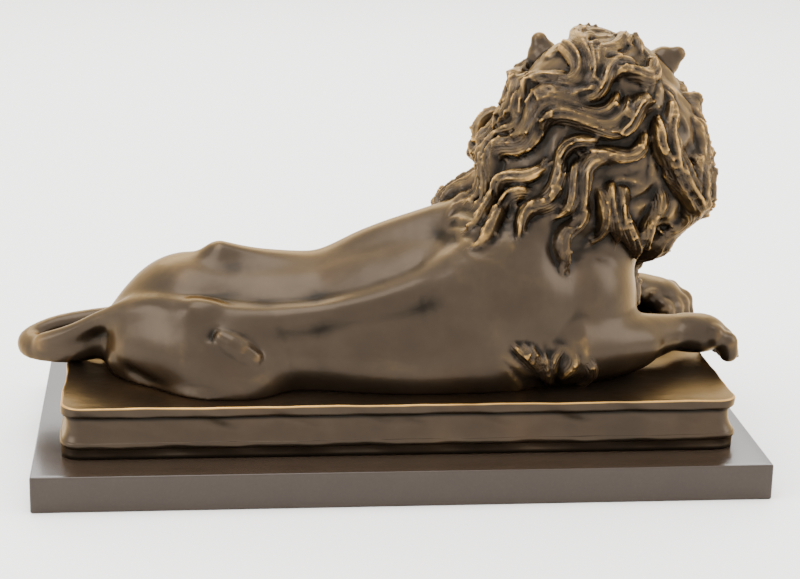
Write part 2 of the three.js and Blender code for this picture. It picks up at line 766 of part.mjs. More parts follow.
class Heap {
  items = [];

  push(item) {
    const { items } = this;
    let at = items.length;
    items.push(item);
    while (at > 0 && items[(at - 1) >> 1].cost > item.cost) {
      items[at] = items[(at - 1) >> 1];
      at = (at - 1) >> 1;
    }
    items[at] = item;
  }

  pop() {
    const { items } = this;
    const top = items[0];
    const item = items.pop();
    if (items.length > 0) {
      let at = 0;
      let child = 1;
      while (child < items.length) {
        if (child + 1 < items.length && items[child + 1].cost < items[child].cost) {
          child += 1;
        }
        if (items[child].cost >= item.cost) {
          break;
        }
        items[at] = items[child];
        at = child;
        child = 2 * at + 1;
      }
      items[at] = item;
    }
    return top;
  }
}

function thin({ points, faces }, target) {
  const quadrics = points.map(() => new Array(10).fill(0));
  const around = points.map(() => new Set());
  const alive = faces.map(() => true);
  faces.forEach((face, f) => {
    const plane = planeQuadric(...face.map((v) => points[v]));
    for (const v of face) {
      around[v].add(f);
      plane.forEach((term, i) => { quadrics[v][i] += term; });
    }
  });
  const neighbours = (v) => new Set([...around[v]].flatMap((f) => faces[f]).filter((w) => w !== v));
  const version = new Int32Array(points.length);
  const heap = new Heap();
  const offer = (a, b) => {
    const sum = quadrics[a].map((term, i) => term + quadrics[b][i]);
    const point = bestPoint(sum, points[a], points[b]);
    heap.push({ cost: quadricError(sum, point), a, b, point, stamp: version[a] + version[b] });
  };
  const turnsOver = (v, other, point) => {
    for (const f of around[v]) {
      if (!faces[f].includes(other)) {
        const before = faceNormal(...faces[f].map((w) => points[w]));
        const after = faceNormal(...faces[f].map((w) => (w === v ? point : points[w])));
        const agreement = before[0] * after[0] + before[1] * after[1] + before[2] * after[2];
        if (agreement <= 0.3 * length3(...before) * length3(...after)) {
          return true;
        }
      }
    }
    return false;
  };
  for (const [a, b, c] of faces) {
    for (const [v, w] of [[a, b], [b, c], [c, a]]) {
      if (v < w) {
        offer(v, w);
      }
    }
  }
  let count = faces.length;
  while (count > target && heap.items.length > 0) {
    const { a, b, point, stamp } = heap.pop();
    const current = around[a].size > 0 && around[b].size > 0 && stamp === version[a] + version[b];
    if (current) {
      const near = neighbours(b);
      const shared = [...neighbours(a)].filter((v) => near.has(v));
      if (near.has(a) && shared.length === 2 && !turnsOver(a, b, point) && !turnsOver(b, a, point)) {
        points[a] = point;
        quadrics[b].forEach((term, i) => { quadrics[a][i] += term; });
        for (const f of around[b]) {
          if (faces[f].includes(a)) {
            alive[f] = false;
            faces[f].forEach((v) => v !== b && around[v].delete(f));
            count -= 1;
          } else {
            faces[f] = faces[f].map((v) => (v === b ? a : v));
            around[a].add(f);
          }
        }
        around[b].clear();
        version[b] += 1;
        version[a] += 1;
        for (const v of neighbours(a)) {
          offer(Math.min(a, v), Math.max(a, v));
        }
      }
    }
  }
  return { points, faces: faces.filter((face, f) => alive[f]) };
}

function toGeometry({ points, faces }) {
  const geometry = new THREE.BufferGeometry();
  geometry.setAttribute('position', new THREE.Float32BufferAttribute(points.flat(), 3));
  geometry.setIndex(faces.flat());
  return geometry;
}

// A block with rounded upright corners, moulded by a profile of [setback, height] from foot to top
function mouldedBlock(length, depth, corner, profile) {
  const cornerSteps = 7;
  const sharpest = 0.4; // least radius of a corner
  const points = [];
  for (const [setback, height] of profile) {
    const radius = Math.max(corner - setback, sharpest);
    const middles = [[1, 1], [-1, 1], [-1, -1], [1, -1]].map(([sx, sy]) => [
      sx * (length / 2 - setback - radius),
      sy * (depth / 2 - setback - radius),
    ]);
    middles.forEach(([mx, my], quarter) => {
      for (let i = 0; i <= cornerSteps; i += 1) {
        const angle = (Math.PI / 2) * (quarter + i / cornerSteps);
        points.push([mx + radius * Math.cos(angle), my + radius * Math.sin(angle), height]);
      }
    });
  }
  const ring = 4 * (cornerSteps + 1);
  const top = (profile.length - 1) * ring;
  const faces = [];
  for (let i = 0; i < ring; i += 1) {
    const next = (i + 1) % ring;
    for (let row = 0; row < top; row += ring) {
      faces.push([row + i, row + next, row + ring + next], [row + i, row + ring + next, row + ring + i]);
    }
  }
  for (let i = 1; i < ring - 1; i += 1) {
    faces.push([0, i + 1, i], [top, top + i, top + i + 1]);
  }
  return toGeometry({ points, faces });
}

function makeSlab() {
  return mouldedBlock(SLAB_LENGTH, SLAB_DEPTH, SLAB_CORNER, [
    [SLAB_CHAMFER, 0],
    [0, SLAB_CHAMFER],
    [0, SLAB_HEIGHT - SLAB_CHAMFER],
    [SLAB_CHAMFER, SLAB_HEIGHT],
  ]);
}

function makePlinth() {
  const profile = [[BAND_SETBACK, 0]];
  const noseSteps = 4;
  for (let i = 0; i <= noseSteps; i += 1) {
    const angle = Math.PI * (i / noseSteps - 0.5);
    profile.push([RIDGE_ROUND * (1 - Math.cos(angle)) * 0.5, RIDGE_HEIGHT + RIDGE_ROUND * Math.sin(angle)]);
  }
  const coveFoot = RIDGE_HEIGHT + RIDGE_ROUND;
  const coveTop = PLINTH_HEIGHT - FASCIA_HEIGHT;
  const coveSteps = 5;
  for (let i = 1; i <= coveSteps; i += 1) {
    const t = i / coveSteps;
    const inwards = 1 - (1 - t) ** 3;
    const setback = RIDGE_ROUND * 0.5 + (FASCIA_SETBACK + COVE_DEPTH - RIDGE_ROUND * 0.5) * inwards;
    profile.push([setback, coveFoot + (coveTop - coveFoot) * t]);
  }
  profile.push([FASCIA_SETBACK, coveTop + 0.5 * COVE_DEPTH]);
  profile.push([FASCIA_SETBACK, PLINTH_HEIGHT - EDGE_BREAK]);
  profile.push([FASCIA_SETBACK + EDGE_BREAK, PLINTH_HEIGHT]);
  return mouldedBlock(PLINTH_LENGTH, PLINTH_DEPTH, PLINTH_CORNER, profile);
}

const wasm = await Module();
wasm.setup();

function toSolid(geometry) {
  const bare = geometry.clone();
  bare.deleteAttribute('normal');
  bare.deleteAttribute('uv');
  const merged = mergeVertices(bare);
  return new wasm.Manifold(new wasm.Mesh({
    numProp: 3,
    vertProperties: Float32Array.from(merged.attributes.position.array),
    triVerts: Uint32Array.from(merged.index.array),
  }));
}

function fromSolid(solid) {
  const mesh = solid.getMesh();
  const geometry = new THREE.BufferGeometry();
  geometry.setAttribute('position', new THREE.BufferAttribute(mesh.vertProperties, 3));
  geometry.setIndex(new THREE.BufferAttribute(mesh.triVerts, 1));
  return geometry;
}

// The sculpted surface runs on below the plinth's top and is cut off there, over the plinth alone
function makeLion() {
  const { height, low, high, cell } = DRAWING;
  const scale = LION_HEIGHT / height;
  const net = largestBody(surfaceNet(sampleGrid([...low, -FOOT_DROP - 1.5 * cell], high, cell)));
  const figure = toGeometry(thin(net, LION_FACES)).scale(scale, scale, scale);
  const clearance = 0.3;
  const cutDepth = 4 * FOOT_DROP;
  const cut = new THREE.BoxGeometry(PLINTH_LENGTH + 2 * clearance, 2 * SLAB_DEPTH, cutDepth);
  cut.translate(0, 0, -cutDepth / 2);
  return fromSolid(toSolid(figure).subtract(toSolid(cut)));
}

const bronze = { color: 0x4a3524, roughness: 0.32, metalness: 1 };
const stone = { color: 0x2b2622, roughness: 0.12, metalness: 0 };

function piece(name, geometry, finish, height) {
  const mesh = new THREE.Mesh(geometry, new THREE.MeshStandardMaterial(finish));
  mesh.name = name;
  mesh.position.z = height;
  return mesh;
}

const lionFigure = new THREE.Group();
lionFigure.add(piece('stone_slab', makeSlab(), stone, 0));
lionFigure.add(piece('bronze_plinth', makePlinth(), bronze, SLAB_HEIGHT));
lionFigure.add(piece('lion', makeLion(), bronze, SLAB_HEIGHT + PLINTH_HEIGHT));

export default lionFigure;
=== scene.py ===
# %% [markdown]
# # A recumbent bronze lion
# A cast and patinated bronze lion lies on a moulded bronze plinth, and both stand on a polished
# stone slab. The imported solids give every size. Here the three pieces get their fine surface:
# combed locks, carved paws and face, hand-worked mouldings, gold crests that are partly wear and
# partly painted highlight, and dark hollows that are partly patina and partly painted shade.

# %% Load the imported solids
import math
import bpy
import numpy as np
from mathutils import Matrix, Vector


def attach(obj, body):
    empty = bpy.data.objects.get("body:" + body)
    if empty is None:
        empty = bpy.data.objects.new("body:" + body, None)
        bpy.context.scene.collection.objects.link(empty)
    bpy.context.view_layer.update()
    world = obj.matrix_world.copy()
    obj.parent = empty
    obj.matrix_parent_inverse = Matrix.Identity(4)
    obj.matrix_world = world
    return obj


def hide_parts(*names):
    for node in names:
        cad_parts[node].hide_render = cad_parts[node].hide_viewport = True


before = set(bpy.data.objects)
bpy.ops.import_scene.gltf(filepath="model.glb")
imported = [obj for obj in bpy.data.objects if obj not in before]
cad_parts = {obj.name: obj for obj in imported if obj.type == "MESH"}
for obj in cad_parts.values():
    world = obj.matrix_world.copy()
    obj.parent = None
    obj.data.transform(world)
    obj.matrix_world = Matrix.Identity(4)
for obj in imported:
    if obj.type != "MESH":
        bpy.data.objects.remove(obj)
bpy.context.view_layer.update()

# %% [markdown]
# ## The camera
# The picture was taken a little above the plinth, from the lion's right side, with a long lens.
# A camera is placed by its position and by the directions of the picture's right and top edges,
# which is exact, and easier to adjust than three turning angles.

# %% Camera
IMAGE_WIDTH, IMAGE_HEIGHT = 800, 579
FOCAL_PIXELS = 2040
YAW, PITCH, ROLL = np.radians([6.36, 16.34, 1.33])
CAMERA_PLACE = (-0.1196, -1.1136, 0.4192)

ahead = np.array([np.sin(YAW) * np.cos(PITCH), np.cos(YAW) * np.cos(PITCH), -np.sin(PITCH)])
level = np.array([np.cos(YAW), -np.sin(YAW), 0.0])
above = np.cross(level, ahead)
right = level * np.cos(ROLL) + above * np.sin(ROLL)
top = above * np.cos(ROLL) - level * np.sin(ROLL)

lens = bpy.data.cameras.new("camera")
lens.sensor_width = 36
lens.lens = FOCAL_PIXELS / IMAGE_WIDTH * lens.sensor_width
camera = bpy.data.objects.new("camera", lens)
turned = np.stack([right, top, -ahead], 1).tolist()
placed = [[*row, place] for row, place in zip(turned, CAMERA_PLACE)]
camera.matrix_world = Matrix(placed + [[0, 0, 0, 1]])
bpy.context.scene.collection.objects.link(camera)
bpy.context.scene.camera = camera
print("camera", CAMERA_PLACE, "lens", round(lens.lens, 1), "mm")

# %% [markdown]
# ## Floor and light
# Polished bronze shows what stands around it, so the light matters as much as the metal. A pale
# floor, a pale room and a few wide soft lamps give long quiet reflections on the flank and a
# bright line along each ridge, as in a photographer's light tent.

# %% Floor
FLOOR_SIZE = 8.0
floor_mesh = bpy.data.meshes.new("floor")
reach = FLOOR_SIZE / 2
corners = [(-reach, -reach, 0), (reach, -reach, 0), (reach, reach, 0), (-reach, reach, 0)]
floor_mesh.from_pydata(corners, [], [(0, 1, 2, 3)])
floor = bpy.data.objects.new("floor", floor_mesh)
bpy.context.scene.collection.objects.link(floor)

# %% Lamps and room
def soft_lamp(name, place, aim, width, height, power):
    """A rectangular lamp at place that faces the point aim."""
    lamp = bpy.data.lights.new(name, "AREA")
    lamp.shape = "RECTANGLE"
    lamp.size, lamp.size_y = width, height
    lamp.energy = power
    holder = bpy.data.objects.new(name, lamp)
    holder.location = place
    holder.rotation_euler = (Vector(aim) - Vector(place)).to_track_quat("-Z", "Y").to_euler()
    bpy.context.scene.collection.objects.link(holder)


MIDDLE = (0.0, 0.0, 0.1)
soft_lamp("overhead", (-0.2, 0.1, 1.5), MIDDLE, 1.2, 0.7, 14)
soft_lamp("left_side", (-1.5, -0.5, 0.9), MIDDLE, 0.8, 1.0, 16)
soft_lamp("right_side", (1.5, -0.2, 0.8), MIDDLE, 0.7, 1.0, 10)
soft_lamp("behind", (0.1, 1.5, 1.0), MIDDLE, 1.6, 0.7, 16)

room = bpy.data.worlds.new("room")
room.use_nodes = True
room.node_tree.nodes["Background"].inputs["Color"].default_value = (1.0, 0.985, 0.965, 1)
room.node_tree.nodes["Background"].inputs["Strength"].default_value = 2.9
bpy.context.scene.world = room
print("4 lamps and a pale room")

# %% [markdown]
# ## Writing materials as sums
# A material is a sum of masks and colours. Wrapping a shader socket in a small class lets the
# masks be written like ordinary arithmetic, and each expression adds the nodes it needs.

# %% A socket that can be calculated with
class Socket:
    """Wraps an output socket, so that numbers and sockets can be added, subtracted and multiplied."""

    def __init__(self, tree, socket=None):
        self.tree = tree
        self.socket = socket

    def node(self, kind, settings=None, values=None, output=0):
        """Add a node, set its settings, then set or link its sockets, and wrap one of its outputs."""
        made = self.tree.nodes.new(kind)
        for name, value in (settings or {}).items():
            setattr(made, name, value)
        for name, value in (values or {}).items():
            if isinstance(value, Socket):
                self.tree.links.new(value.socket, made.inputs[name])
            else:
                made.inputs[name].default_value = value
        return Socket(self.tree, made.outputs[output])

    def calculate(self, operation, first, second=0.0):
        return self.node("ShaderNodeMath", {"operation": operation}, {0: first, 1: second})

    def __add__(self, other):
        return self.calculate("ADD", self, other)

    def __radd__(self, other):
        return self.calculate("ADD", other, self)

    def __sub__(self, other):
        return self.calculate("SUBTRACT", self, other)

    def __rsub__(self, other):
        return self.calculate("SUBTRACT", other, self)

    def __mul__(self, other):
        return self.calculate("MULTIPLY", self, other)

    def __rmul__(self, other):
        return self.calculate("MULTIPLY", other, self)

    def rise(self, low, high):
        """0 below low, 1 above high, and a smooth slope between."""
        values = {"Value": self, "From Min": low, "From Max": high}
        return self.node("ShaderNodeMapRange", {"interpolation_type": "SMOOTHSTEP"}, values)

    def mix(self, under, over):
        """The colour under where this mask is 0, and the colour over where it is 1."""
        return self.node("ShaderNodeMix", {"data_type": "RGBA"}, {0: self, 6: under, 7: over}, 2)


def new_material(name):
    """A material with a Principled shader, and the wrapped Object coordinates to build masks on."""
    material = bpy.data.materials.new(name)
    material.use_nodes = True
    tree = material.node_tree
    shader = tree.nodes["Principled BSDF"]
    place = Socket(tree).node("ShaderNodeTexCoord", output=3)
    return material, shader, place


def noise(place, scale, detail=3.0, roughness=0.5):
    """Cloudy noise between 0 and 1, with so many patches to the metre."""
    values = {"Vector": place, "Scale": scale, "Detail": detail, "Roughness": roughness}
    return place.node("ShaderNodeTexNoise", values=values)


def attribute(place, name):
    """A number that the mesh carries at each of its points."""
    return place.node("ShaderNodeAttribute", {"attribute_name": name}, output=2)


def connect(shader, name, wrapped):
    wrapped.tree.links.new(wrapped.socket, shader.inputs[name])


# %% Floor's material
pale, shader, place = new_material("pale_floor")
shader.inputs["Base Color"].default_value = (0.93, 0.92, 0.905, 1)
shader.inputs["Roughness"].default_value = 0.7
floor_mesh.materials.append(pale)

# %% [markdown]
# ## Bronze
# Art bronze is cast, chased, darkened with a brown patina and waxed. Handling rubs the patina
# thin on every crest, where the gold of the metal shows; that gold is also a painted highlight,
# broader and brighter than the wear alone. The hollows are painted nearly black: partly the
# darker patina that gathers there, partly painted shade. The meshes carry that as an attribute:
# relief, in millimetres, is how far a point stands above its surroundings. Clouds of noise break
# up the brown, as brushed-on patina does, and at a grazing angle the metal's reflection stays warm.

# %% Bronze's material
PATINA_DARK = (0.0135, 0.0098, 0.0066, 1)
PATINA_BROWN = (0.043, 0.0305, 0.0205, 1)
PATINA_RED = (0.068, 0.037, 0.018, 1)
PATINA_OLIVE = (0.125, 0.078, 0.029, 1)
EDGE_GOLD = (1.0, 0.74, 0.45, 1)
# Gold on the crests: rubbed wear, brightened into a painted highlight.
RUBBED_GOLD_AND_HIGHLIGHT = (0.62, 0.35, 0.095, 1)
# Black of the hollows: the darker patina there, deepened by painted shade.
PATINA_AND_SHADE_BLACK = (0.004, 0.003, 0.002, 1)


def bronze_material(name, crest_low, crest_high, strand_depth, unevenness):
    """Brown patina; black in hollows, partly patina and partly painted shade; gold on crests of the attribute
    relief, partly rubbed wear and partly painted highlight.
    """
    material, shader, place = new_material(name)
    relief = attribute(place, "relief")
    clouds = noise(place, 28, 4, 0.6)
    grain = noise(place, 260, 3, 0.6)
    brown = (clouds.rise(0.3, 0.9) * 0.55 + 0.45).mix(PATINA_DARK, PATINA_BROWN)
    brown = (noise(place, 17, 3, 0.5).rise(0.55, 0.8) * 0.4).mix(brown, PATINA_RED)
    # Mask of the hollows, where the relief sinks: darker patina and painted shade.
    dark_patina_and_shade = (relief * -1.0).rise(0.0, 0.5)
    # Mask of the crests: where the gold of wear and of the painted highlight goes.
    crest = (attribute(place, "crest") + grain * 0.06 - 0.03).rise(crest_low, crest_high)
    crest = crest * (relief + clouds - 0.5).rise(0.2, 1.3)
    if strand_depth:
        olive = attribute(place, "mane") * (relief + clouds - 0.5).rise(-0.2, 0.8) * 0.7
        brown = olive.mix(brown, PATINA_OLIVE)
        crest = crest * (attribute(place, "mane") * 0.75 + 0.25)
    colour = dark_patina_and_shade.mix(brown, PATINA_AND_SHADE_BLACK)
    colour = crest.mix(colour, RUBBED_GOLD_AND_HIGHLIGHT)
    connect(shader, "Base Color", colour)
    shader.inputs["Metallic"].default_value = 0.85
    shader.inputs["Specular Tint"].default_value = EDGE_GOLD
    connect(shader, "Roughness", 0.3 + 0.1 * clouds + 0.3 * dark_patina_and_shade - 0.05 * crest)
    shader.inputs["Coat Weight"].default_value = 0.12
    shader.inputs["Coat Roughness"].default_value = 0.18
    height = noise(place, 45, 3, 0.5) * unevenness + grain * 0.00005
    if strand_depth:
        strand = attribute(place, "strand")
        hair = attribute(place, "hair")
        height = height + hair * strand_depth * strand.calculate("SINE", strand)
    bump = place.node("ShaderNodeBump", values={"Strength": 0.6, "Distance": 1.0, "Height": height})
    connect(shader, "Normal", bump)
    return material


lion_bronze = bronze_material("lion_bronze", 0.06, 0.40, 0.00018, 0.0007)
plinth_bronze = bronze_material("plinth_bronze", 0.25, 0.8, 0, 0.0014)
print("bronze for the lion and the plinth")

# %% [markdown]
# ## Stone
# The slab is a dark polished stone. Polish makes it a dim mirror: the top shows the plinth, and
# the front shows the pale room. Fine grains and soft clouds, a shade lighter than the ground, keep
# it from looking like plastic.

# %% Stone's material
STONE_DARK = (0.020, 0.0130, 0.0085, 1)
STONE_GRAIN = (0.032, 0.0215, 0.0145, 1)

slab_stone, shader, place = new_material("slab_stone")
grains = noise(place, 700, 2, 0.6).rise(0.4, 0.8) * 0.3 + noise(place, 45, 4, 0.6) * 0.7
connect(shader, "Base Color", grains.mix(STONE_DARK, STONE_GRAIN))
connect(shader, "Roughness", 0.16 + 0.12 * noise(place, 40, 3, 0.5))
shader.inputs["Specular IOR Level"].default_value = 0.32
print("stone for the slab")

# %% [markdown]
# ## Mouldings carried round a rectangle
# The slab and the plinth are both one profile carried round a rectangle with rounded corners. A
# point of the outline moves inwards along its own normal by the profile's setback, so every
# ring keeps the corners round. Below and above, the rings shrink to a point, which closes the
# piece without a seam.

# %% Tools for mouldings
CAP_SHRINK = np.array([0.97, 0.9, 0.75, 0.5, 0.25])
CAP_RINGS = len(CAP_SHRINK)


def rounded_rectangle(length, depth, corner, step):
    """Points and outward normals round a rectangle: four straight sides joined by quarter circles."""
    points, normals = [], []
    corner_steps = 10
    for quarter in range(4):
        sign_x, sign_y = [(1, 1), (-1, 1), (-1, -1), (1, -1)][quarter]
        angle = np.pi / 2 * (quarter + np.arange(corner_steps + 1) / corner_steps)
        arc = np.stack([np.cos(angle), np.sin(angle)], 1)
        middle = np.array([sign_x * (length / 2 - corner), sign_y * (depth / 2 - corner)])
        points.append(middle + corner * arc)
        normals.append(arc)
        side = (depth if quarter % 2 else length) - 2 * corner
        count = max(int(side / step), 1)
        share = (np.arange(1, count) / count)[:, None]
        run = np.array([[-side, 0], [0, -side], [side, 0], [0, side]][quarter])
        points.append(points[-1][-1] + run * share)
        normals.append(np.repeat(arc[-1:], count - 1, 0))
    return np.concatenate(points), np.concatenate(normals)


def carried_profile(name, outline, normals, setback, height, waves=0.0):
    """Rings outline - setback * normal at each height, closed by rings that shrink to the middle.

    height has one value for each row of the profile; setback and waves may vary round a row too."""
    flat = outline[None] - (setback + waves)[..., None] * normals[None]
    below = flat[0] * CAP_SHRINK[::-1, None, None]
    above = flat[-1] * CAP_SHRINK[:, None, None]
    rings = np.concatenate([below, flat, above])
    levels = np.concatenate([np.full(CAP_RINGS, height[0]), height, np.full(CAP_RINGS, height[-1])])
    upright = np.broadcast_to(levels[:, None, None], (*rings.shape[:2], 1))
    points = np.concatenate([rings, upright], 2).reshape(-1, 3)
    points = np.concatenate([points, [[0, 0, levels[0]]], [[0, 0, levels[-1]]]]) / 1000
    count = len(outline)
    top_row = len(levels) - 1
    row, column = np.meshgrid(np.arange(top_row), np.arange(count), indexing="ij")
    here = row * count + column
    beside = row * count + (column + 1) % count
    quads = np.stack([here, beside, beside + count, here + count], -1).reshape(-1, 4)
    round_it = np.arange(count)
    next_one = (round_it + 1) % count
    last = top_row * count
    low_fan = np.stack([next_one, round_it, np.full(count, len(points) - 2)], 1)
    high_fan = np.stack([last + round_it, last + next_one, np.full(count, len(points) - 1)], 1)
    mesh = bpy.data.meshes.new(name)
    mesh.from_pydata(points.tolist(), [], quads.tolist() + low_fan.tolist() + high_fan.tolist())
    mesh.shade_smooth()
    return mesh


def add_piece(name, mesh, material):
    """Put a mesh in the scene in place of the solid of the same name."""
    mesh.materials.append(material)
    piece = bpy.data.objects.new(name + "_fine", mesh)
    bpy.context.scene.collection.objects.link(piece)
    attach(piece, "root")
    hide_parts(name)
    print(name, len(mesh.polygons), "faces")


# %% Slab
SLAB_LENGTH, SLAB_DEPTH, SLAB_HEIGHT = 400, 208, 20
SLAB_CORNER, SLAB_CHAMFER = 1.5, 1.0

outline, normals = rounded_rectangle(SLAB_LENGTH, SLAB_DEPTH, SLAB_CORNER, 20)
turn = np.linspace(0, np.pi / 2, 5)
foot_setback = SLAB_CHAMFER * (1 - np.sin(turn))
foot_height = SLAB_CHAMFER * (1 - np.cos(turn))
setback = np.concatenate([foot_setback, foot_setback[::-1]])[:, None]
height = np.concatenate([foot_height, SLAB_HEIGHT - foot_height[::-1]])
mesh = carried_profile("slab", outline, normals, setback, height)
add_piece("stone_slab", mesh, slab_stone)

# %% [markdown]
# ## The plinth
# From the foot up: a low band, a rounded ridge, a hollow cove and an upright fascia with a sharp
# top edge, rubbed to gold. It was modelled in wax by hand, so the lines run slightly wavy and
# the cove is uneven. Those waves are sines of the way round the outline.

# %% Plinth
PLINTH_LENGTH, PLINTH_DEPTH, PLINTH_HEIGHT, PLINTH_CORNER = 373, 162, 29, 13
FASCIA_HEIGHT, FASCIA_SETBACK = 6.5, 1.5
COVE_DEPTH = 2.4
RIDGE_HEIGHT, RIDGE_ROUND = 8, 1.6
BAND_SETBACK = 1.4
EDGE_ROUND = 0.9


def plinth_profile():
    """Setback and height of each row: band, nose of the ridge, quarter wave of the cove, fascia, edge."""
    turn = np.linspace(-np.pi / 2, np.pi / 2, 13)
    quarter = np.linspace(0, 1, 22)[1:]
    edge = np.linspace(0, np.pi / 2, 7)
    cove_foot = RIDGE_HEIGHT + RIDGE_ROUND
    cove_top = PLINTH_HEIGHT - FASCIA_HEIGHT
    cove_deep = FASCIA_SETBACK + COVE_DEPTH
    setback = np.concatenate([
        [BAND_SETBACK + 0.5, BAND_SETBACK, BAND_SETBACK, BAND_SETBACK],
        RIDGE_ROUND * (1 - np.cos(turn)) * 0.5 + 0.15,
        RIDGE_ROUND * 0.5 + (cove_deep - RIDGE_ROUND * 0.5) * (1 - (1 - quarter) ** 3),
        [cove_deep - 0.3, FASCIA_SETBACK + 0.6, FASCIA_SETBACK + 0.1, FASCIA_SETBACK, FASCIA_SETBACK],
        FASCIA_SETBACK + EDGE_ROUND * (1 - np.cos(edge)),
        FASCIA_SETBACK + EDGE_ROUND + np.array([0.6, 1.5, 3, 6]),
    ])
    height = np.concatenate([
        [0, 0.4, 2.5, 5.5],
        RIDGE_HEIGHT + RIDGE_ROUND * np.sin(turn),
        cove_foot + (cove_top - cove_foot) * quarter,
        cove_top + np.array([0.5, 0.8, 1.3, 2.4, 4.0]),
        PLINTH_HEIGHT - EDGE_ROUND * (1 - np.sin(edge)),
        PLINTH_HEIGHT - np.array([0.0, 0.05, 0.1, 0.1]),
    ])
    return setback, height


outline, normals = rounded_rectangle(PLINTH_LENGTH, PLINTH_DEPTH, PLINTH_CORNER, 3)
setback, height = plinth_profile()
around = np.concatenate([[0], np.cumsum(np.linalg.norm(np.diff(outline, axis=0), axis=1))])[None]
level = height[:, None]
waves = 0.34 * np.sin(around / 7.9 + 0.35 * level) + 0.30 * np.sin(around / 15.2 - 0.2 * level + 1.0)
waves = waves + 0.14 * np.sin(around / 3.4 + 0.5 * level)
waves = 0.25 + waves * np.clip(level / 4, 0, 1)
mesh = carried_profile("plinth", outline, normals, setback[:, None], height + SLAB_HEIGHT, waves)

# Gold rows: wear on the sharp top edge, and a painted highlight along the ridge.
crest_height = np.array([RIDGE_HEIGHT, PLINTH_HEIGHT - 0.3])
crest_width = np.array([1.2, 0.7])
rows = np.concatenate([np.full(CAP_RINGS, -9.0), height, np.full(CAP_RINGS, PLINTH_HEIGHT + 3.0)])
crest = np.array([0.35, 0.9]) * np.exp(-((rows[:, None] - crest_height) / crest_width) ** 2)
inwards = np.concatenate([np.zeros(CAP_RINGS), setback, np.full(CAP_RINGS, 9.0)])
crest = crest.sum(1) * (inwards < FASCIA_SETBACK + 1.2)
# Dark rows under the fascia's step and at the foot against the slab: painted shade.
dark_patina_and_shade = np.exp(-((rows - (PLINTH_HEIGHT - FASCIA_HEIGHT)) / 1.4) ** 2) + np.exp(-((rows - 0.5) / 1.5) ** 2)
relief = np.repeat(crest - 0.5 * dark_patina_and_shade, len(outline))
relief = np.concatenate([relief, [0, 0]]).astype(np.float32)
for name in ("relief", "crest"):
    mesh.attributes.new(name, "FLOAT", "POINT").data.foreach_set("value", relief)
add_piece("bronze_plinth", mesh, plinth_bronze)

# %% [markdown]
# ## Modelling the lion like wax
# A modeller builds an animal from lumps pressed together: barrel, haunch, shoulder, paws. Here
# each lump is a formula that says how far a point is from its surface, and a soft minimum
# presses two lumps together with a fillet. Such lumps and limbs give the whole animal, with no
# list of measured points. Lengths are in millimetres, with 0 at the plinth's top.

# %% Shaping tools
HEAD = np.array([120.0, 24.0, 135.0])
FACE_TURN = 80
FACE_COS, FACE_SIN = math.cos(math.radians(FACE_TURN)), math.sin(math.radians(FACE_TURN))


def smoothstep(low, high, value):
    """0 below low, 1 above high, and the smooth cubic 3t^2 - 2t^3 between."""
    t = np.clip((value - low) / (high - low), 0, 1)
    return t * t * (3 - 2 * t)


def scatter(seed):
    """A repeatable scattered number between -1 and 1: the fraction of a large sine."""
    wave = np.sin(np.asarray(seed, np.float64) * 12.9898) * 43758.5453
    return 2 * (wave - np.floor(wave)) - 1


def soft_minimum(a, b, softness):
    """The smaller of two distances, lowered by a fillet where they are within softness."""
    overlap = np.maximum(softness - np.abs(a - b), 0)
    return np.minimum(a, b) - overlap * overlap / (4 * softness)


def ellipsoid(centre, radii, turn=0.0):
    """k (k - 1) / |gradient of k|, where k is 1 on the ellipsoid: nearly the distance to it."""
    cos, sin = math.cos(math.radians(turn)), math.sin(math.radians(turn))
    a, b, c = radii

    def distance(x, y, z):
        dx, dy, w = x - centre[0], y - centre[1], (z - centre[2]) / c
        u, v = (cos * dx + sin * dy) / a, (cos * dy - sin * dx) / b
        near = np.sqrt(u * u + v * v + w * w)
        slope = np.sqrt((u / a) ** 2 + (v / b) ** 2 + (w / c) ** 2) + 1e-9
        return near * (near - 1) / slope
    return distance, np.array(centre[:3], float), max(radii)


def limb(points):
    """Distance to a chain of tapering round rods through points of x, y, z and radius."""
    points = np.array(points, float)
    middle = points[:, :3].mean(0)
    reach = (np.linalg.norm(points[:, :3] - middle, axis=1) + points[:, 3]).max()

    def distance(x, y, z):
        best = np.inf
        for p, run in zip(points, np.diff(points, axis=0)):
            dx, dy, dz = x - p[0], y - p[1], z - p[2]
            t = np.clip((dx * run[0] + dy * run[1] + dz * run[2]) / (run[:3] @ run[:3]), 0, 1)
            gap = np.sqrt((dx - t * run[0]) ** 2 + (dy - t * run[1]) ** 2 + (dz - t * run[2]) ** 2)
            best = np.minimum(best, gap - p[3] - t * run[3])
        return best
    return distance, middle, reach


def spline(points, steps):
    """A smooth curve through the points: a cubic between each two, with the slopes of its neighbours."""
    points = np.array(points, float)
    ends = np.vstack([2 * points[0] - points[1], points, 2 * points[-1] - points[-2]])
    at = np.linspace(0, len(points) - 1, steps + 1)
    index = np.minimum(at.astype(int), len(points) - 2)
    w = (at - index)[:, None]
    p0, p1, p2, p3 = (ends[index + k] for k in range(4))
    pairs = ((p0, p1), (p1, p2), (p2, p3))
    d0, d1, d2 = (np.linalg.norm(b[:, :3] - a[:, :3], axis=1, keepdims=True) ** 0.5 for a, b in pairs)
    leave = ((p1 - p0) / d0 - (p2 - p0) / (d0 + d1) + (p2 - p1) / d1) * d1
    arrive = ((p2 - p1) / d1 - (p3 - p1) / (d1 + d2) + (p3 - p2) / d2) * d1
    bend = 3 * (p2 - p1) - 2 * leave - arrive
    return p1 + leave * w + bend * w ** 2 + (2 * (p1 - p2) + leave + arrive) * w ** 3


def supple(points, steps=5):
    """A limb that bends and swells smoothly through its points, in steps rods from each to the next."""
    return limb(spline(points, steps * (len(points) - 1)))


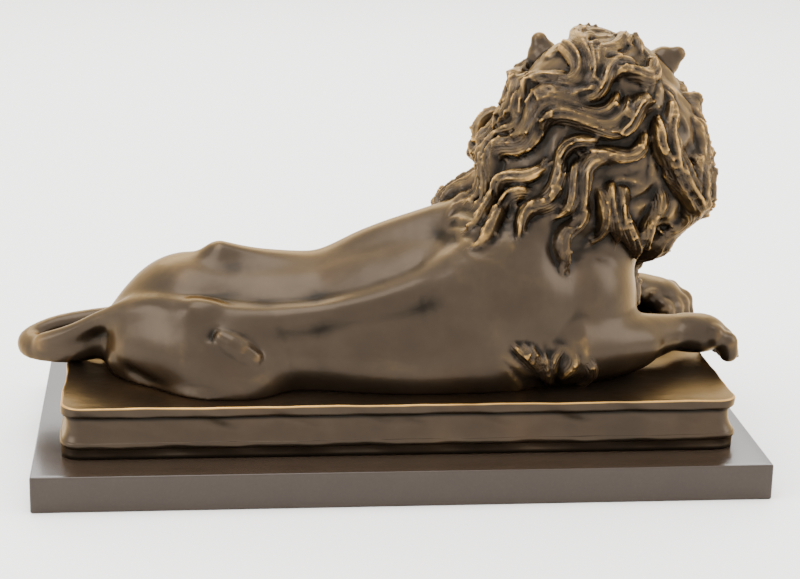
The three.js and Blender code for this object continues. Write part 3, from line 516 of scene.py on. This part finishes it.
def capped(form, height, softness):
    """The part of a form that is below a height, with the edge rounded off."""
    distance, middle, reach = form
    return lambda x, y, z: -soft_minimum(-distance(x, y, z), height - z, softness), middle, reach


masses = []


def add(form, softness, cut=False):
    """Press a form onto the figure with a fillet of that softness, or carve it out."""
    masses.append((*form, softness, cut))


def skin(x, y, z):
    """Distance from the figure's skin, negative inside."""
    depth = np.full(np.shape(x), 1e3)
    for distance, middle, reach, softness, cut in masses:
        if cut:
            depth = -soft_minimum(-depth, distance(x, y, z), softness)
        else:
            depth = soft_minimum(depth, distance(x, y, z), softness)
    return depth


def on_head(ahead, left, up, radius=0.0):
    """A place given in the head's own directions, moved into the figure's."""
    x = HEAD[0] + FACE_COS * ahead - FACE_SIN * left
    y = HEAD[1] + FACE_SIN * ahead + FACE_COS * left
    return x, y, HEAD[2] + up, radius


def from_head(points):
    """How far points are ahead of, left of and above the middle of the head."""
    dx, dy = points[..., 0] - HEAD[0], points[..., 1] - HEAD[1]
    return FACE_COS * dx + FACE_SIN * dy, FACE_COS * dy - FACE_SIN * dx, points[..., 2] - HEAD[2]

# %% [markdown]
# The barrel is one long tapering limb. The spine, and the ridge that runs from the hip bone to
# the ribs, are thin limbs laid on it. The haunches, knees and shoulders are ellipsoids.

# %% Body
def add_trunk():
    barrel = [(-114, 0, 13, 47), (-62, 0, 9, 52), (-35, 0, 9, 54),
              (0, 0, 11, 62), (45, 0, 21, 64), (85, 2, 31, 54)]
    add(supple(barrel, 9), 1)
    add(ellipsoid((-115, 2, 28), (34, 39, 33)), 10)
    add(supple([(-98, 2, 63, 7), (-72, 2, 56, 7), (-40, 2, 54, 6), (-12, 3, 67, 9), (25, 2, 77, 13)]), 14)
    add(ellipsoid((102, 2, 39), (35, 46, 46)), 16)


def add_flank(side):
    """A wall from haunch to shoulder under a ridge that rises along the ribs.

    On the near side the ridge runs on behind the hip as a crest down to the tail."""
    lift = 5 if side > 0 else 0
    crest = [(-198, -5, 11.5, 4), (-180, 4, 20, 4.5), (-165, 12, 29, 5),
             (-152, 20, 36, 5), (-136, 31, 41, 5), (-115, 41, 42, 5)]
    ridge = [(-124, 37, 36, 5), (-104, 43, 39, 5), (-77, 44.5, 37.5, 5),
             (-39, 45, 41.5, 5), (0, 46, 51, 6), (28, 43, 61, 8)]
    wall = [(-140, 22, 20, 15), (-112, 38, 20, 18), (-80, 39, 19, 19),
            (-45, 38, 18, 19.5), (-5, 44, 18, 20), (45, 42, 20, 20)]
    for line, softness in ((wall, 14), (crest, 9), (ridge, 9)):
        if side < 0 or line is not crest:
            add(supple([(x, y * side, z, radius) for x, y, z, radius in line]), softness)
    haunch = ellipsoid((-111.5, 21.2 * side, -2), (56.6, 34.5, 58), 47.5 * side)
    add(capped(haunch, 39, 14), 12)
    add(ellipsoid((-108 + lift, 42 * side, 42 + 1.5 * lift), (8, 5, 5)), 8)
    add(ellipsoid((56, 42 * side, 43), (36, 24, 44)), 16)


add_trunk()
add_flank(-1)
add_flank(1)
print(len(masses), "masses in the body")

# %% Legs, paws and tail
def add_paw(wrist, turn, size):
    """A rounded pad with four toes, each a bent limb from knuckle to tip, and a short claw."""
    cos, sin = size * math.cos(math.radians(turn)), size * math.sin(math.radians(turn))

    def place(ahead, left, up, radius=0.0):
        x = wrist[0] + cos * ahead - sin * left
        y = wrist[1] + sin * ahead + cos * left
        return x, y, wrist[2] + size * up, size * radius

    add(ellipsoid(place(8, 0, 0), (16 * size, 14 * size, 10 * size), turn), 6)
    for toe in range(4):
        across = toe - 1.5
        reach = 1 - 0.4 * abs(across)
        knuckle = place(12 + 3 * reach, 6.9 * across, 0.6 + reach, 6.0)
        joint = place(18.5 + 3.5 * reach, 7.3 * across, -3.0, 6.0)
        pad = place(20 + 3.5 * reach, 7.4 * across, -8.6, 5.0)
        between = place(15 + 3.2 * reach, 7.1 * across, -0.8 + 0.5 * reach, 5.0)
        add(limb([knuckle, between, joint, pad]), 2)
        claw = place(24 + 3.5 * reach, 7.4 * across, -7.5, 1.8)
        claw_tip = place(25.5 + 3.5 * reach, 7.4 * across, -11.5, 1.0)
        add(limb([claw, claw_tip]), 0.8)


def near_wall(x, z, out=0.0):
    """The place on the lion's near side at this length and height, moved outwards by out."""
    y = np.arange(-90.0, -30.0, 0.25)
    met = skin(np.full(y.shape, float(x)), y, np.full(y.shape, float(z))) < 0
    return float(x), float(y[met.argmax()] - out), float(z)


def add_hind_legs():
    """A folded near leg, with a groove under the haunch and a bar of bone across the knee, and a far one."""
    add(limb([(-149, -37, 6.5, 2.5), (-138, -48, 2.5, 3.8), (-126, -60, -1, 3.5)]), 4, True)
    add(supple([(-152, -19, 8, 9.5), (-136, -36, 1, 7), (-108, -60, -1, 7.5), (-88, -59, -1, 8)]), 3)
    add(ellipsoid((-86, -50, 10), (20, 17, 18)), 8)
    bar = [near_wall(-99, 33), near_wall(-93, 30), near_wall(-87, 26.5), near_wall(-81, 22.5)]
    add(ellipsoid(near_wall(-103, 34.5, 1.5), (4, 3, 3)), 4, True)
    add(limb([(x, y + 1.2, z, radius) for (x, y, z), radius in zip(bar, (3.2, 4.6, 5.2, 4.0))]), 3)
    add(ellipsoid((-86, 50, 10), (20, 17, 18)), 8)
    add(supple([(-152, 24, 9, 10), (-118, 52, 7, 12), (-84, 62, 6, 11), (-62, 66, 7, 9)]), 6)
    add_paw((-58, 66, 10), 4, 0.9)


def add_forelegs():
    near = [(96, -40, 19, 22), (122, -30, 17, 19), (142, -19, 17, 14.5), (160, -8, 16.5, 11), (170, -3, 16, 9.8)]
    far = [(92, 48, 21, 24), (120, 58, 15, 18), (142, 67, 15, 14), (158, 73, 17, 12)]
    add(supple(near, 14), 5)
    add(ellipsoid((133, -29, 15), (16, 9, 11)), 7)
    add_paw((171, -2, 14), 12, 1.12)
    add(supple(far, 14), 8)
    add_paw((160, 72, 17), -38, 1.2)


def add_tail():
    """The tail leaves the rump thick, loops over the plinth's end and lies back along the far haunch."""
    bends = [(-134, 0, 32), (-154, 0, 20), (-178, 3, 9.5), (-202, 14, 4), (-207, 28, 4.5),
             (-194, 41, 8), (-170, 47, 11), (-140, 55, 11), (-112, 67, 8), (-92, 72, 7)]
    line = spline(bends, 36)
    radius = 6.6 + 10.5 * np.linspace(1, 0, len(line)) ** 5
    add(limb(np.column_stack([line, radius])), 7)
    add(ellipsoid((-76, 72, 8), (18, 6, 8)), 5)


add_hind_legs()
add_forelegs()
add_tail()
print(len(masses), "masses with the legs, paws and tail")

# %% [markdown]
# The head is turned towards the far side. Its lumps are given in the head's own directions, so
# the whole face turns with one angle. The face is hidden in the photograph, so it follows a real
# lion: a long straight nose, heavy brows, small round ears and a square chin.

# %% Mane's volume and head
def add_mane():
    add(ellipsoid((116, 3, 129), (56, 41, 50)), 8)
    add(ellipsoid((115, 5, 157), (39, 32, 31)), 12)
    add(ellipsoid((91, 0, 101), (41, 44, 36)), 12)
    add(ellipsoid((66, -1, 80), (36, 49, 25)), 12)
    add(ellipsoid((123, 6, 92), (32, 38, 37)), 12)
    add(ellipsoid((153, -2, 110), (20, 27, 32)), 8)
    add(ellipsoid((65, 34, 122), (13, 20, 13)), 6)


def add_head():
    add(ellipsoid(on_head(0, 0, 8), (34, 30, 33), FACE_TURN), 6)
    add(limb([on_head(14, 0, 13, 17), on_head(34, 0, 8, 12.5), on_head(54, 0, 3, 10.5)]), 6)
    add(limb([on_head(16, 0, -8, 22), on_head(44, 0, -9, 15)]), 6)
    for side in (-1, 1):
        add(ellipsoid(on_head(16, 21 * side, -8), (17, 13, 18), FACE_TURN), 8)
        add(ellipsoid(on_head(51, 8 * side, -8), (11, 9, 9.5), FACE_TURN), 3)
        add(ellipsoid(on_head(28, 14 * side, 19), (9, 10, 6), FACE_TURN), 5)
        add(ellipsoid(on_head(34, 13 * side, 10.5), (6, 8, 6), FACE_TURN), 3, True)
        add(ellipsoid(on_head(29.5, 13.2 * side, 10.3), (5.6, 5.6, 5), FACE_TURN), 0.6)
        upper_lid = [on_head(33.5, 8 * side, 9.5, 1.5), on_head(34.5, 13 * side, 14, 1.7),
                     on_head(31, 18.5 * side, 11.5, 1.6)]
        lower_lid = [on_head(34, 8 * side, 8.8, 1.3), on_head(34, 13 * side, 6.6, 1.6),
                     on_head(30.5, 18.5 * side, 10.5, 1.5)]
        add(limb(upper_lid), 1.2)
        add(limb(lower_lid), 1.2)
    add(ellipsoid(on_head(44, 0, -25), (13, 11, 8.5), FACE_TURN), 4)
    add(ellipsoid(on_head(61, 0, 4.5), (5, 8.5, 5.5), FACE_TURN), 1.5)
    add(limb([on_head(63, 0, -3, 1.1), on_head(63.5, 0, -12, 1.1)]), 0.8, True)
    for side in (-1, 1):
        add(ellipsoid(on_head(66, 4.4 * side, 2.6), (4, 2.2, 1.7), FACE_TURN), 0.8, True)
        mouth = [on_head(63, 0, -12, 1.2), on_head(60, 7 * side, -16.5, 1.5),
                 on_head(50, 14 * side, -18.5, 1.6), on_head(38, 19 * side, -17, 1.2)]
        add(limb(mouth), 1, True)


def add_ears():
    """Rounded cones, hollowed on the side of the face: the left ear stands, and the right one leans out."""
    add(limb([on_head(-4, 30, 27, 10), on_head(-4, 33.5, 38, 9), on_head(-4, 36, 46.5, 4.8)]), 2)
    add(ellipsoid(on_head(6.5, 34.5, 44), (5, 3.6, 6), FACE_TURN), 1.5, True)
    add(limb([on_head(-6, -27, 31, 10), on_head(-8, -35, 37, 9), on_head(-9, -42.5, 42, 4.6)]), 2)
    add(ellipsoid(on_head(2, -36, 39), (5, 5, 4.5), FACE_TURN), 1.5, True)


add_mane()
add_head()
add_ears()
print(len(masses), "masses in the whole lion")

# %% [markdown]
# ## Combing the mane
# Each lock starts at a root on the mane and is combed over the skin a little way at a time. The
# combing direction sweeps back from the face and swings from side to side, with nearly the same
# phase for neighbours, so that the locks lie in S-shaped waves beside each other like real hair.
# All the locks take each step together, as whole arrays.

# %% Lock paths
LOCK_STEPS = 18
WAVE_LENGTH = 40.0
SWING = math.radians(42)
MANE_LOCK = (50.0, 4.9, 6.4)
ELBOW_TUFT = (34.0, 3.2, 3.2)
ROOT_SPACING, ROW_SPACING = 12.0, 21.0
TUFTS = 9


def unit(vectors):
    return vectors / (np.linalg.norm(vectors, axis=-1, keepdims=True) + 1e-9)


def outward(points):
    """The skin's outward direction: how its distance grows along x, y and z."""
    steps = np.eye(3)
    return unit(np.stack([skin(*(points + step).T) - skin(*(points - step).T) for step in steps], -1))


def hair_flow(points):
    """Off the face all round it; elsewhere back and down, steeper below, and straight down in front."""
    ahead, left, up = from_head(points)
    around = np.hypot(left, up) + 1e-6
    off_x = -FACE_SIN * left / around - 0.6 * FACE_COS
    off_y = FACE_COS * left / around - 0.6 * FACE_SIN
    off_face = np.stack([off_x, off_y, up / around - 0.35], -1)
    steep = np.radians(22 + (8 + 50 * smoothstep(50, 85, points[:, 0])) * smoothstep(135, 85, points[:, 2]))
    flow = np.stack([-np.cos(steep), np.full(len(points), -0.1), -np.sin(steep)], -1)
    for share, direction in (
        (smoothstep(132, 146, points[:, 0]), [0.1, 0, -1]),
        (smoothstep(58, 44, points[:, 2]), [0.1, 0, -1]),
        (smoothstep(164, 182, points[:, 2]), [-0.35, -0.9, -0.25]),
        (smoothstep(-2, 14, ahead), off_face),
    ):
        flow = flow + share[:, None] * (direction - flow)
    return unit(flow)


def cloud(points, seed=0):
    """Smooth noise between -1 and 1, with one scattered number at each whole coordinate."""
    cell = np.floor(points)
    part = points - cell
    part = part * part * (3 - 2 * part)
    total = np.zeros(len(points))
    for corner in np.ndindex(2, 2, 2):
        weight = np.where(corner, part, 1 - part).prod(1)
        total += weight * scatter((cell + corner) @ np.array([1.0, 57.0, 113.0]) + seed)
    return total


def wave_phase(points):
    """Where each point is on its wave: the waves run along the mean combing direction and wander a little."""
    return 2 * np.pi * (points @ np.array([-0.8, 0.15, -0.6])) / WAVE_LENGTH + 1.6 * cloud(points / 38)


def wavy_flow(points, out):
    """The combing direction along the skin, swung from side to side by the wave."""
    along = hair_flow(points)
    along = unit(along - out * (along * out).sum(1, keepdims=True))
    swing = (SWING * np.sin(wave_phase(points)))[:, None]
    return along * np.cos(swing) - np.cross(along, out) * np.sin(swing)


def comb(roots, length, half_width, half_thickness):
    """Walk every lock over the skin: at each step its middle, outward and side directions, and size."""
    points = roots.copy()
    walked = []
    for t in np.linspace(0, 1, LOCK_STEPS + 1):
        out = outward(points)
        along = wavy_flow(points, out)
        width = (0.25 + 0.75 * smoothstep(0, 0.35, t)) * (1 - 0.9 * smoothstep(0.5, 1, t))
        thick = (0.3 + 0.7 * smoothstep(0, 0.35, t)) * (1 - 0.8 * smoothstep(0.6, 1, t))
        lift = -1.0 + 1.25 * smoothstep(0, 0.3, t) - 0.5 * smoothstep(0.75, 1, t)
        swell = (1 + 0.25 * np.sin(wave_phase(points) + 0.8)) * (1 - 0.45 * smoothstep(174, 190, points[:, 2]))
        middle = points + out * (half_thickness * lift * swell)[:, None]
        walked.append((middle, out, np.cross(along, out), half_width * width, half_thickness * thick * swell))
        points = points + along * (length / LOCK_STEPS)[:, None]
        for _ in range(3):
            points = points - outward(points) * skin(*points.T)[:, None]
    return [np.stack(part, 1) for part in zip(*walked)]


def find_roots(middles, directions):
    """Come in from outside along a line, a millimetre at a time, until the skin is met."""
    far = 120
    points = middles + directions * far
    met = np.zeros(len(points), bool)
    for _ in range(far):
        met |= skin(*points.T) <= 0
        points = np.where(met[:, None], points, points - directions)
    return points, met


def mane_roots(spacing, between):
    """Roots in circles round the crown, then in rings down to the chest; the rows are between apart.

    On the near shoulder the rings end higher, because the mane's edge is higher there."""
    middles, directions, seeds = [], [], []
    crown = np.arange(math.radians(80), 0, -between / 40)
    heights = np.arange(150, 60, -0.9 * between)
    for row in range(len(crown) + len(heights)):
        if row < len(crown):
            climb, height, middle_x, girth = crown[row], 150.0, 119.0, 42 * math.cos(crown[row])
        else:
            height = heights[row - len(crown)]
            climb, middle_x, girth = 0.0, 86 + 32 * smoothstep(60, 130, height), 50.0
        count = int(round(2 * np.pi * girth / spacing))
        seed = 100 * row + np.arange(count)
        angle = 2 * np.pi * (np.arange(count) + 0.5 * (row % 2) + 0.2 * scatter(seed)) / count
        height = height + 0.3 * between * scatter(seed + 4)
        edge = 102 - 28 * smoothstep(0, 0.6, np.sin(angle)) - 18 * smoothstep(0.45, 0.9, np.abs(np.cos(angle)))
        high = height > edge
        rise = climb + 0.08 * scatter(seed + 2)
        middles.append(np.stack([np.full(count, middle_x), np.full(count, 3.0), height], 1)[high])
        x, y = np.cos(angle) * np.cos(rise), np.sin(angle) * np.cos(rise)
        directions.append(np.stack([x, y, np.sin(rise)], 1)[high])
        seeds.append(seed[high])
    middles, directions, seeds = (np.concatenate(part) for part in (middles, directions, seeds))
    roots, met = find_roots(middles, directions)
    ahead, left, up = from_head(roots)
    on_face = (ahead > 14) & (np.hypot(left, up + 6) < 35)
    on_ear = np.sqrt((np.abs(left) - 36) ** 2 + (up - 42) ** 2 + (ahead + 6) ** 2) < 10
    keep = met & (roots[:, 0] > 52) & ~on_face & ~on_ear
    return roots[keep], seeds[keep]


def lock_group(roots, seeds, length, half_width, half_thickness):
    """Sizes of a group of locks, scattered by a quarter, and larger beside the face."""
    size = (1 + 0.25 * scatter(seeds + 3)) * (1 + 0.3 * smoothstep(130, 152, roots[:, 0]))
    return roots, length * size, half_width * size, half_thickness * (0.5 + 0.5 * size), seeds


def elbow_roots(side):
    """Roots of a row of short tufts above the elbow."""
    index = np.arange(TUFTS)
    seeds = 5000 + 20 * side + index
    middles = np.stack([57 + 5.5 * index, 0.0 * index, 30 - 0.6 * index + 5 * scatter(seeds)], 1)
    return find_roots(middles, np.tile([0.0, side, 0.0], (TUFTS, 1)))[0], seeds


hair_groups = [
    lock_group(*mane_roots(ROOT_SPACING, ROW_SPACING), *MANE_LOCK),
    lock_group(*elbow_roots(-1), *ELBOW_TUFT),
    lock_group(*elbow_roots(1), *ELBOW_TUFT),
]
hair = [np.concatenate(part) for part in zip(*hair_groups)]
lock_seeds = hair[4]
locks = comb(*hair[:4])
print(len(lock_seeds), "locks")

# %% [markdown]
# Between and over the locks the comb leaves ridges. Smooth noise is averaged along the combing
# direction, forwards and back, which draws it out into streaks that follow the waves. Where the
# streaks cross zero there is a sharp ridge, and a round valley lies between two ridges.

# %% Ridges of the comb
RIDGE_PERIODS = (8.0, 3.0)
RIDGE_HEIGHTS = (1.0, 0.3)


def combed_ridges(points, periods):
    """For each period in millimetres, 1 on the ridges and -1 in the valleys. The mane is taken as a plain egg."""
    path = [points]
    for step in (3.5, -3.5):
        place = points
        for _ in range(5):
            out = unit((place - (105, 0, 110)) / (50 ** 2, 42 ** 2, 50 ** 2))
            place = place + step * wavy_flow(place, out)
            path.append(place)
    ridges = []
    for k, period in enumerate(periods):
        streaks = sum(cloud(place / period, 10 * k) for place in path) / len(path)
        ridges.append(1 - 2 * np.clip(4 * np.abs(streaks), 0, 1))
    return ridges


def mane_share(points):
    """1 in the mane, fading to 0 at its lower edge and round the face and ears, and high at the elbows."""
    ahead, left, up = from_head(points)
    edge = 92 - 26 * smoothstep(-25, 30, points[:, 1]) - 14 * smoothstep(70, 50, points[:, 0])
    edge = edge - 12 * smoothstep(118, 135, points[:, 0])
    face = smoothstep(8, 16, ahead) * smoothstep(40, 32, np.hypot(left, up + 6))
    ear = smoothstep(16, 11, np.sqrt((np.abs(left) - 37) ** 2 + (up - 42) ** 2 + (ahead + 6) ** 2))
    crown = 0.35 * smoothstep(176, 188, points[:, 2])
    mane = smoothstep(edge - 10, edge + 10, points[:, 2]) * smoothstep(22, 40, points[:, 0])
    mane = mane * (1 - face) * (1 - ear) * (1 - crown)
    elbow = smoothstep(30, 18, np.abs(points[:, 0] - 80)) * smoothstep(34, 20, points[:, 2])
    elbow = elbow * smoothstep(42, 50, np.abs(points[:, 1]))
    return np.maximum(mane, 0.8 * elbow)


# %% [markdown]
# ## From formulas to a surface
# The distance is sampled on a grid of small cubes, but only near the skin, in blocks: a block
# too far from a lump leaves it out. Then each cube that the surface crosses gets one point, at
# the middle of its crossings, and the points of neighbouring cubes are joined into quads. This
# is known as a surface net. Cubes where two sheets would touch are filled first, so that the
# surface never meets itself.

# %% Sampling
CELL = 1.15
LOW, HIGH = np.array([-224.0, -84.0, -8.0]), np.array([220.0, 104.0, 206.0])
BLOCK = 8
SINK = 0.6
LOCK_FILLET = 1.2


def lock_distance(place, centre, out, side, half_width, half_thickness, seed):
    """Distance to one lock, a peaked and fluted rope whose crest wanders, and the way across it."""
    best = np.full(place.shape[:-1], 1e3)
    across_it = np.zeros_like(best)
    for i, run in enumerate(np.diff(centre, axis=0)):
        offset = place - centre[i]
        t = np.clip(offset @ run / (run @ run), 0, 1)
        offset = offset - t[..., None] * run
        width = half_width[i] + t * (half_width[i + 1] - half_width[i])
        thickness = half_thickness[i] + t * (half_thickness[i + 1] - half_thickness[i])
        sideways = side[i] + t[..., None] * (side[i + 1] - side[i])
        outwards = out[i] + t[..., None] * (out[i + 1] - out[i])
        across, high = (offset * sideways).sum(-1), (offset * outwards).sum(-1)
        along = np.maximum((offset * offset).sum(-1) - across ** 2 - high ** 2, 0)
        share = across / width
        crest = 0.35 * side[i][2] + 0.2 * scatter(seed + 5)
        share = share - crest * np.maximum(1 - share * share, 0)
        flute = 1 - 0.32 * np.sin(1.5 * np.pi * np.clip(share, -1.2, 1.2)) ** 2
        peaked = np.abs(share) ** 1.7 + (np.abs(high) / (thickness * flute)) ** 1.7
        gap = (peaked + (along / thickness ** 2) ** 0.85) ** (1 / 1.7)
        gap = (gap - 1) * thickness
        across_it = np.where(gap < best, across, across_it)
        best = np.minimum(best, gap)
    return best, across_it


def skin_of_blocks(x, y, z, centres, half_diagonal):
    """The skin's distance in blocks of points, leaving out the masses a block is too far from."""
    depth = np.full(x.shape, 1e3, np.float32)
    for distance, middle, reach, softness, cut in masses:
        gap = np.linalg.norm(centres - middle, axis=1) - reach - half_diagonal
        near = gap < (depth.reshape(len(depth), -1).max(1) + softness if not cut else 30)
        there = distance(x[near], y[near], z[near]).astype(np.float32)
        sign = -1 if cut else 1
        depth[near] = sign * soft_minimum(sign * depth[near], there, softness)
    return depth


def sample_figure():
    """The lion's distance on the whole grid: exact near the skin, and only its sign elsewhere."""
    blocks = np.ceil((HIGH - LOW) / (CELL * BLOCK)).astype(int)
    middles = [LOW[k] + CELL * BLOCK * (np.arange(blocks[k]) + 0.5) for k in range(3)]
    centre = np.stack(np.meshgrid(*middles, indexing="ij"), -1)
    coarse = skin(*np.moveaxis(centre, -1, 0))
    half_diagonal = CELL * BLOCK * math.sqrt(3) / 2
    near = np.abs(coarse) < half_diagonal + 10
    step = np.stack(np.meshgrid(*[CELL * (np.arange(BLOCK) + 0.0)] * 3, indexing="ij"), -1)
    corner = centre[near] - CELL * BLOCK / 2
    place = (corner[:, None, None, None] + step[None]).astype(np.float32)
    fine = skin_of_blocks(place[..., 0], place[..., 1], place[..., 2], centre[near], half_diagonal)
    grid = np.empty((*blocks, BLOCK, BLOCK, BLOCK), np.float32)
    grid[:] = np.sign(coarse)[..., None, None, None] * 50
    grid[near] = fine
    grid = grid.transpose(0, 3, 1, 4, 2, 5).reshape(blocks * BLOCK)
    for lock in zip(*locks, lock_seeds):
        margin = lock[3].max() + 2 * CELL
        first = np.maximum(np.floor((lock[0].min(0) - margin - LOW) / CELL).astype(int), 0)
        last = np.minimum(np.ceil((lock[0].max(0) + margin - LOW) / CELL).astype(int) + 1, grid.shape)
        part = tuple(slice(a, b) for a, b in zip(first, last))
        spans = [LOW[k] + CELL * np.arange(first[k], last[k]) for k in range(3)]
        place = np.stack(np.meshgrid(*spans, indexing="ij"), -1)
        grid[part] = soft_minimum(grid[part], lock_distance(place, *lock)[0].astype(np.float32), LOCK_FILLET)
    close = np.argwhere(np.abs(grid) < 2.5)
    share = mane_share(LOW + CELL * close)
    close, share = close[share > 0], share[share > 0]
    broad, fine = combed_ridges(LOW + CELL * close, RIDGE_PERIODS)
    raised = RIDGE_HEIGHTS[0] * broad + RIDGE_HEIGHTS[1] * fine
    grid[tuple(close.T)] -= (share * raised).astype(np.float32)
    print("combed", len(close), "cubes of the mane")
    x = LOW[0] + CELL * np.arange(grid.shape[0])[:, None]
    z = LOW[2] + CELL * np.arange(grid.shape[2])[None]
    below = np.minimum(-SINK - z, PLINTH_LENGTH / 2 - x)
    return np.maximum(grid, below[:, None].astype(np.float32))


grid = sample_figure()
print("grid of", grid.shape)

# %% Surface net
CORNERS = [(c & 1, c >> 1 & 1, c >> 2 & 1) for c in range(8)]
EDGES = [(c, c | bit) for c in range(8) for bit in (1, 2, 4) if not c & bit]


def is_doubtful(signs):
    """True where the inner or the outer corners of a cube don't all hang together by its edges."""
    for want in (0, 1):
        members = {c for c in range(8) if (signs >> c & 1) == want}
        reached = set(list(members)[:1])
        for _ in range(8):
            reached |= {b for pair in EDGES for a, b in (pair, pair[::-1]) if a in reached and b in members}
        if reached != members:
            return True
    return False


DOUBTFUL = np.array([is_doubtful(signs) for signs in range(256)])


def signs_of(grid):
    """One bit for each of a cube's corners, set where the corner is inside."""
    inside = grid < 0
    size = np.array(grid.shape) - 1
    signs = np.zeros(size, np.uint8)
    for c, (i, j, k) in enumerate(CORNERS):
        signs |= inside[i:size[0] + i, j:size[1] + j, k:size[2] + k].astype(np.uint8) << c
    return signs


def surface_net(grid):
    """Points at the middle of each crossed cube's crossings, and quads across each crossed edge."""
    signs = signs_of(grid)
    while DOUBTFUL[signs].any():
        for corner in CORNERS:
            at = tuple((np.argwhere(DOUBTFUL[signs]) + corner).T)
            grid[at] = np.minimum(grid[at], -0.05 * CELL)
        signs = signs_of(grid)
    cubes = np.argwhere((signs != 0) & (signs != 255))
    number = np.full(signs.shape, -1, np.int64)
    number[tuple(cubes.T)] = np.arange(len(cubes))
    value = [grid[tuple((cubes + corner).T)].astype(float) for corner in CORNERS]
    total, hits = np.zeros((len(cubes), 3)), np.zeros((len(cubes), 1))
    for a, b in EDGES:
        crossed = ((value[a] < 0) != (value[b] < 0))[:, None]
        t = (value[a] / np.where(value[a] == value[b], 1, value[a] - value[b]))[:, None]
        total += np.where(crossed, CORNERS[a] + t * (np.array(CORNERS[b]) - CORNERS[a]), 0)
        hits += crossed
    points = LOW + CELL * (cubes + total / hits)
    inside = grid < 0
    quads = []
    for axis in range(3):
        window, shifted = [slice(1, -1)] * 3, [slice(1, -1)] * 3
        shifted[axis] = slice(2, None)
        at = np.argwhere(inside[tuple(window)] != inside[tuple(shifted)]) + 1
        u, v = np.eye(3, dtype=int)[(axis + 1) % 3], np.eye(3, dtype=int)[(axis + 2) % 3]
        ring = np.stack([number[tuple((at - step).T)] for step in (u + v, v, 0 * u, u)], 1)
        quads.append(np.where(inside[tuple(at.T)][:, None], ring, ring[:, ::-1]))
    return points, np.concatenate(quads)


def smoothed(points, edges, rounds):
    """Each round moves every point halfway to the mean of its neighbours."""
    a, b = edges.T
    count = len(points)
    links = np.bincount(a, minlength=count) + np.bincount(b, minlength=count)
    for _ in range(rounds):
        total = [np.bincount(a, points[b, k], count) + np.bincount(b, points[a, k], count) for k in range(3)]
        points = 0.5 * points + 0.5 * np.stack(total, 1) / links[:, None]
    return points


points, quads = surface_net(grid)
sides = np.concatenate([quads[:, [0, 1]], quads[:, [1, 2]], quads[:, [2, 3]], quads[:, [3, 0]]])
NET_ROUNDS = 3
points = smoothed(points, sides, NET_ROUNDS)
print(len(points), "points and", len(quads), "quads")

# %% [markdown]
# The net has the same small faces on the smooth flank as on the curls. Thinning it by collapsing
# the flattest edges first leaves the triangles where the carving is.

# %% Lion's mesh
TRIANGLES = 198000
PLINTH_TOP = 49.0

net = bpy.data.meshes.new("lion_net")
net.from_pydata((points / 1000 + (0, 0, PLINTH_TOP / 1000)).tolist(), [], quads.tolist())
sketch = bpy.data.objects.new("lion_net", net)
bpy.context.scene.collection.objects.link(sketch)
thinner = sketch.modifiers.new("thinner", "DECIMATE")
thinner.ratio = min(1, TRIANGLES / (2 * len(quads)))
thinned = sketch.evaluated_get(bpy.context.evaluated_depsgraph_get())
mesh = bpy.data.meshes.new_from_object(thinned)
bpy.data.objects.remove(sketch)
mesh.name = "lion"
mesh.shade_smooth()
print(len(mesh.polygons), "triangles in the lion")

# %% [markdown]
# The worn and highlighted gold, the painted shade in the hollows and the fine hair lines need to
# know the carving. Smoothing a copy of the mesh and measuring how far each point sank tells crests
# from hollows, and the way across the nearest lock gives lines that follow its waves.

# %% Relief and strands
RELIEF_ROUNDS, CREST_ROUNDS = 14, 8
STRAND_PERIOD = 1.5

points = np.empty(3 * len(mesh.vertices))
mesh.vertices.foreach_get("co", points)
points = points.reshape(-1, 3) * 1000 - (0, 0, PLINTH_TOP)
normals = np.empty(3 * len(mesh.vertices))
mesh.vertices.foreach_get("normal", normals)
normals = normals.reshape(-1, 3)
edges = np.empty(2 * len(mesh.edges), np.int32)
mesh.edges.foreach_get("vertices", edges)
edges = edges.reshape(-1, 2)

relief = ((points - smoothed(points, edges, RELIEF_ROUNDS)) * normals).sum(1)
crest = ((points - smoothed(points, edges, CREST_ROUNDS)) * normals).sum(1) * smoothstep(3, 9, points[:, 2])
strand, hair_share, nearest = np.zeros(len(points)), np.zeros(len(points)), np.full(len(points), 1.5)
mane = mane_share(points)
for lock in zip(*locks, lock_seeds):
    margin = lock[3].max() + 2
    close = np.flatnonzero(((points > lock[0].min(0) - margin) & (points < lock[0].max(0) + margin)).all(1))
    gap, across = lock_distance(points[close], *lock)
    better = gap < nearest[close]
    nearest[close[better]] = gap[better]
    strand[close[better]] = across[better]
    hair_share[close[better]] = 1
strand = strand * 2 * np.pi / STRAND_PERIOD
fields = {"relief": relief, "crest": crest, "strand": strand, "hair": hair_share, "mane": mane}
for name, values in fields.items():
    mesh.attributes.new(name, "FLOAT", "POINT").data.foreach_set("value", values.astype(np.float32))
add_piece("lion", mesh, lion_bronze)
for name in ("relief", "crest"):
    print(name, np.percentile(fields[name], [1, 10, 50, 90, 99]).round(2), "mm")
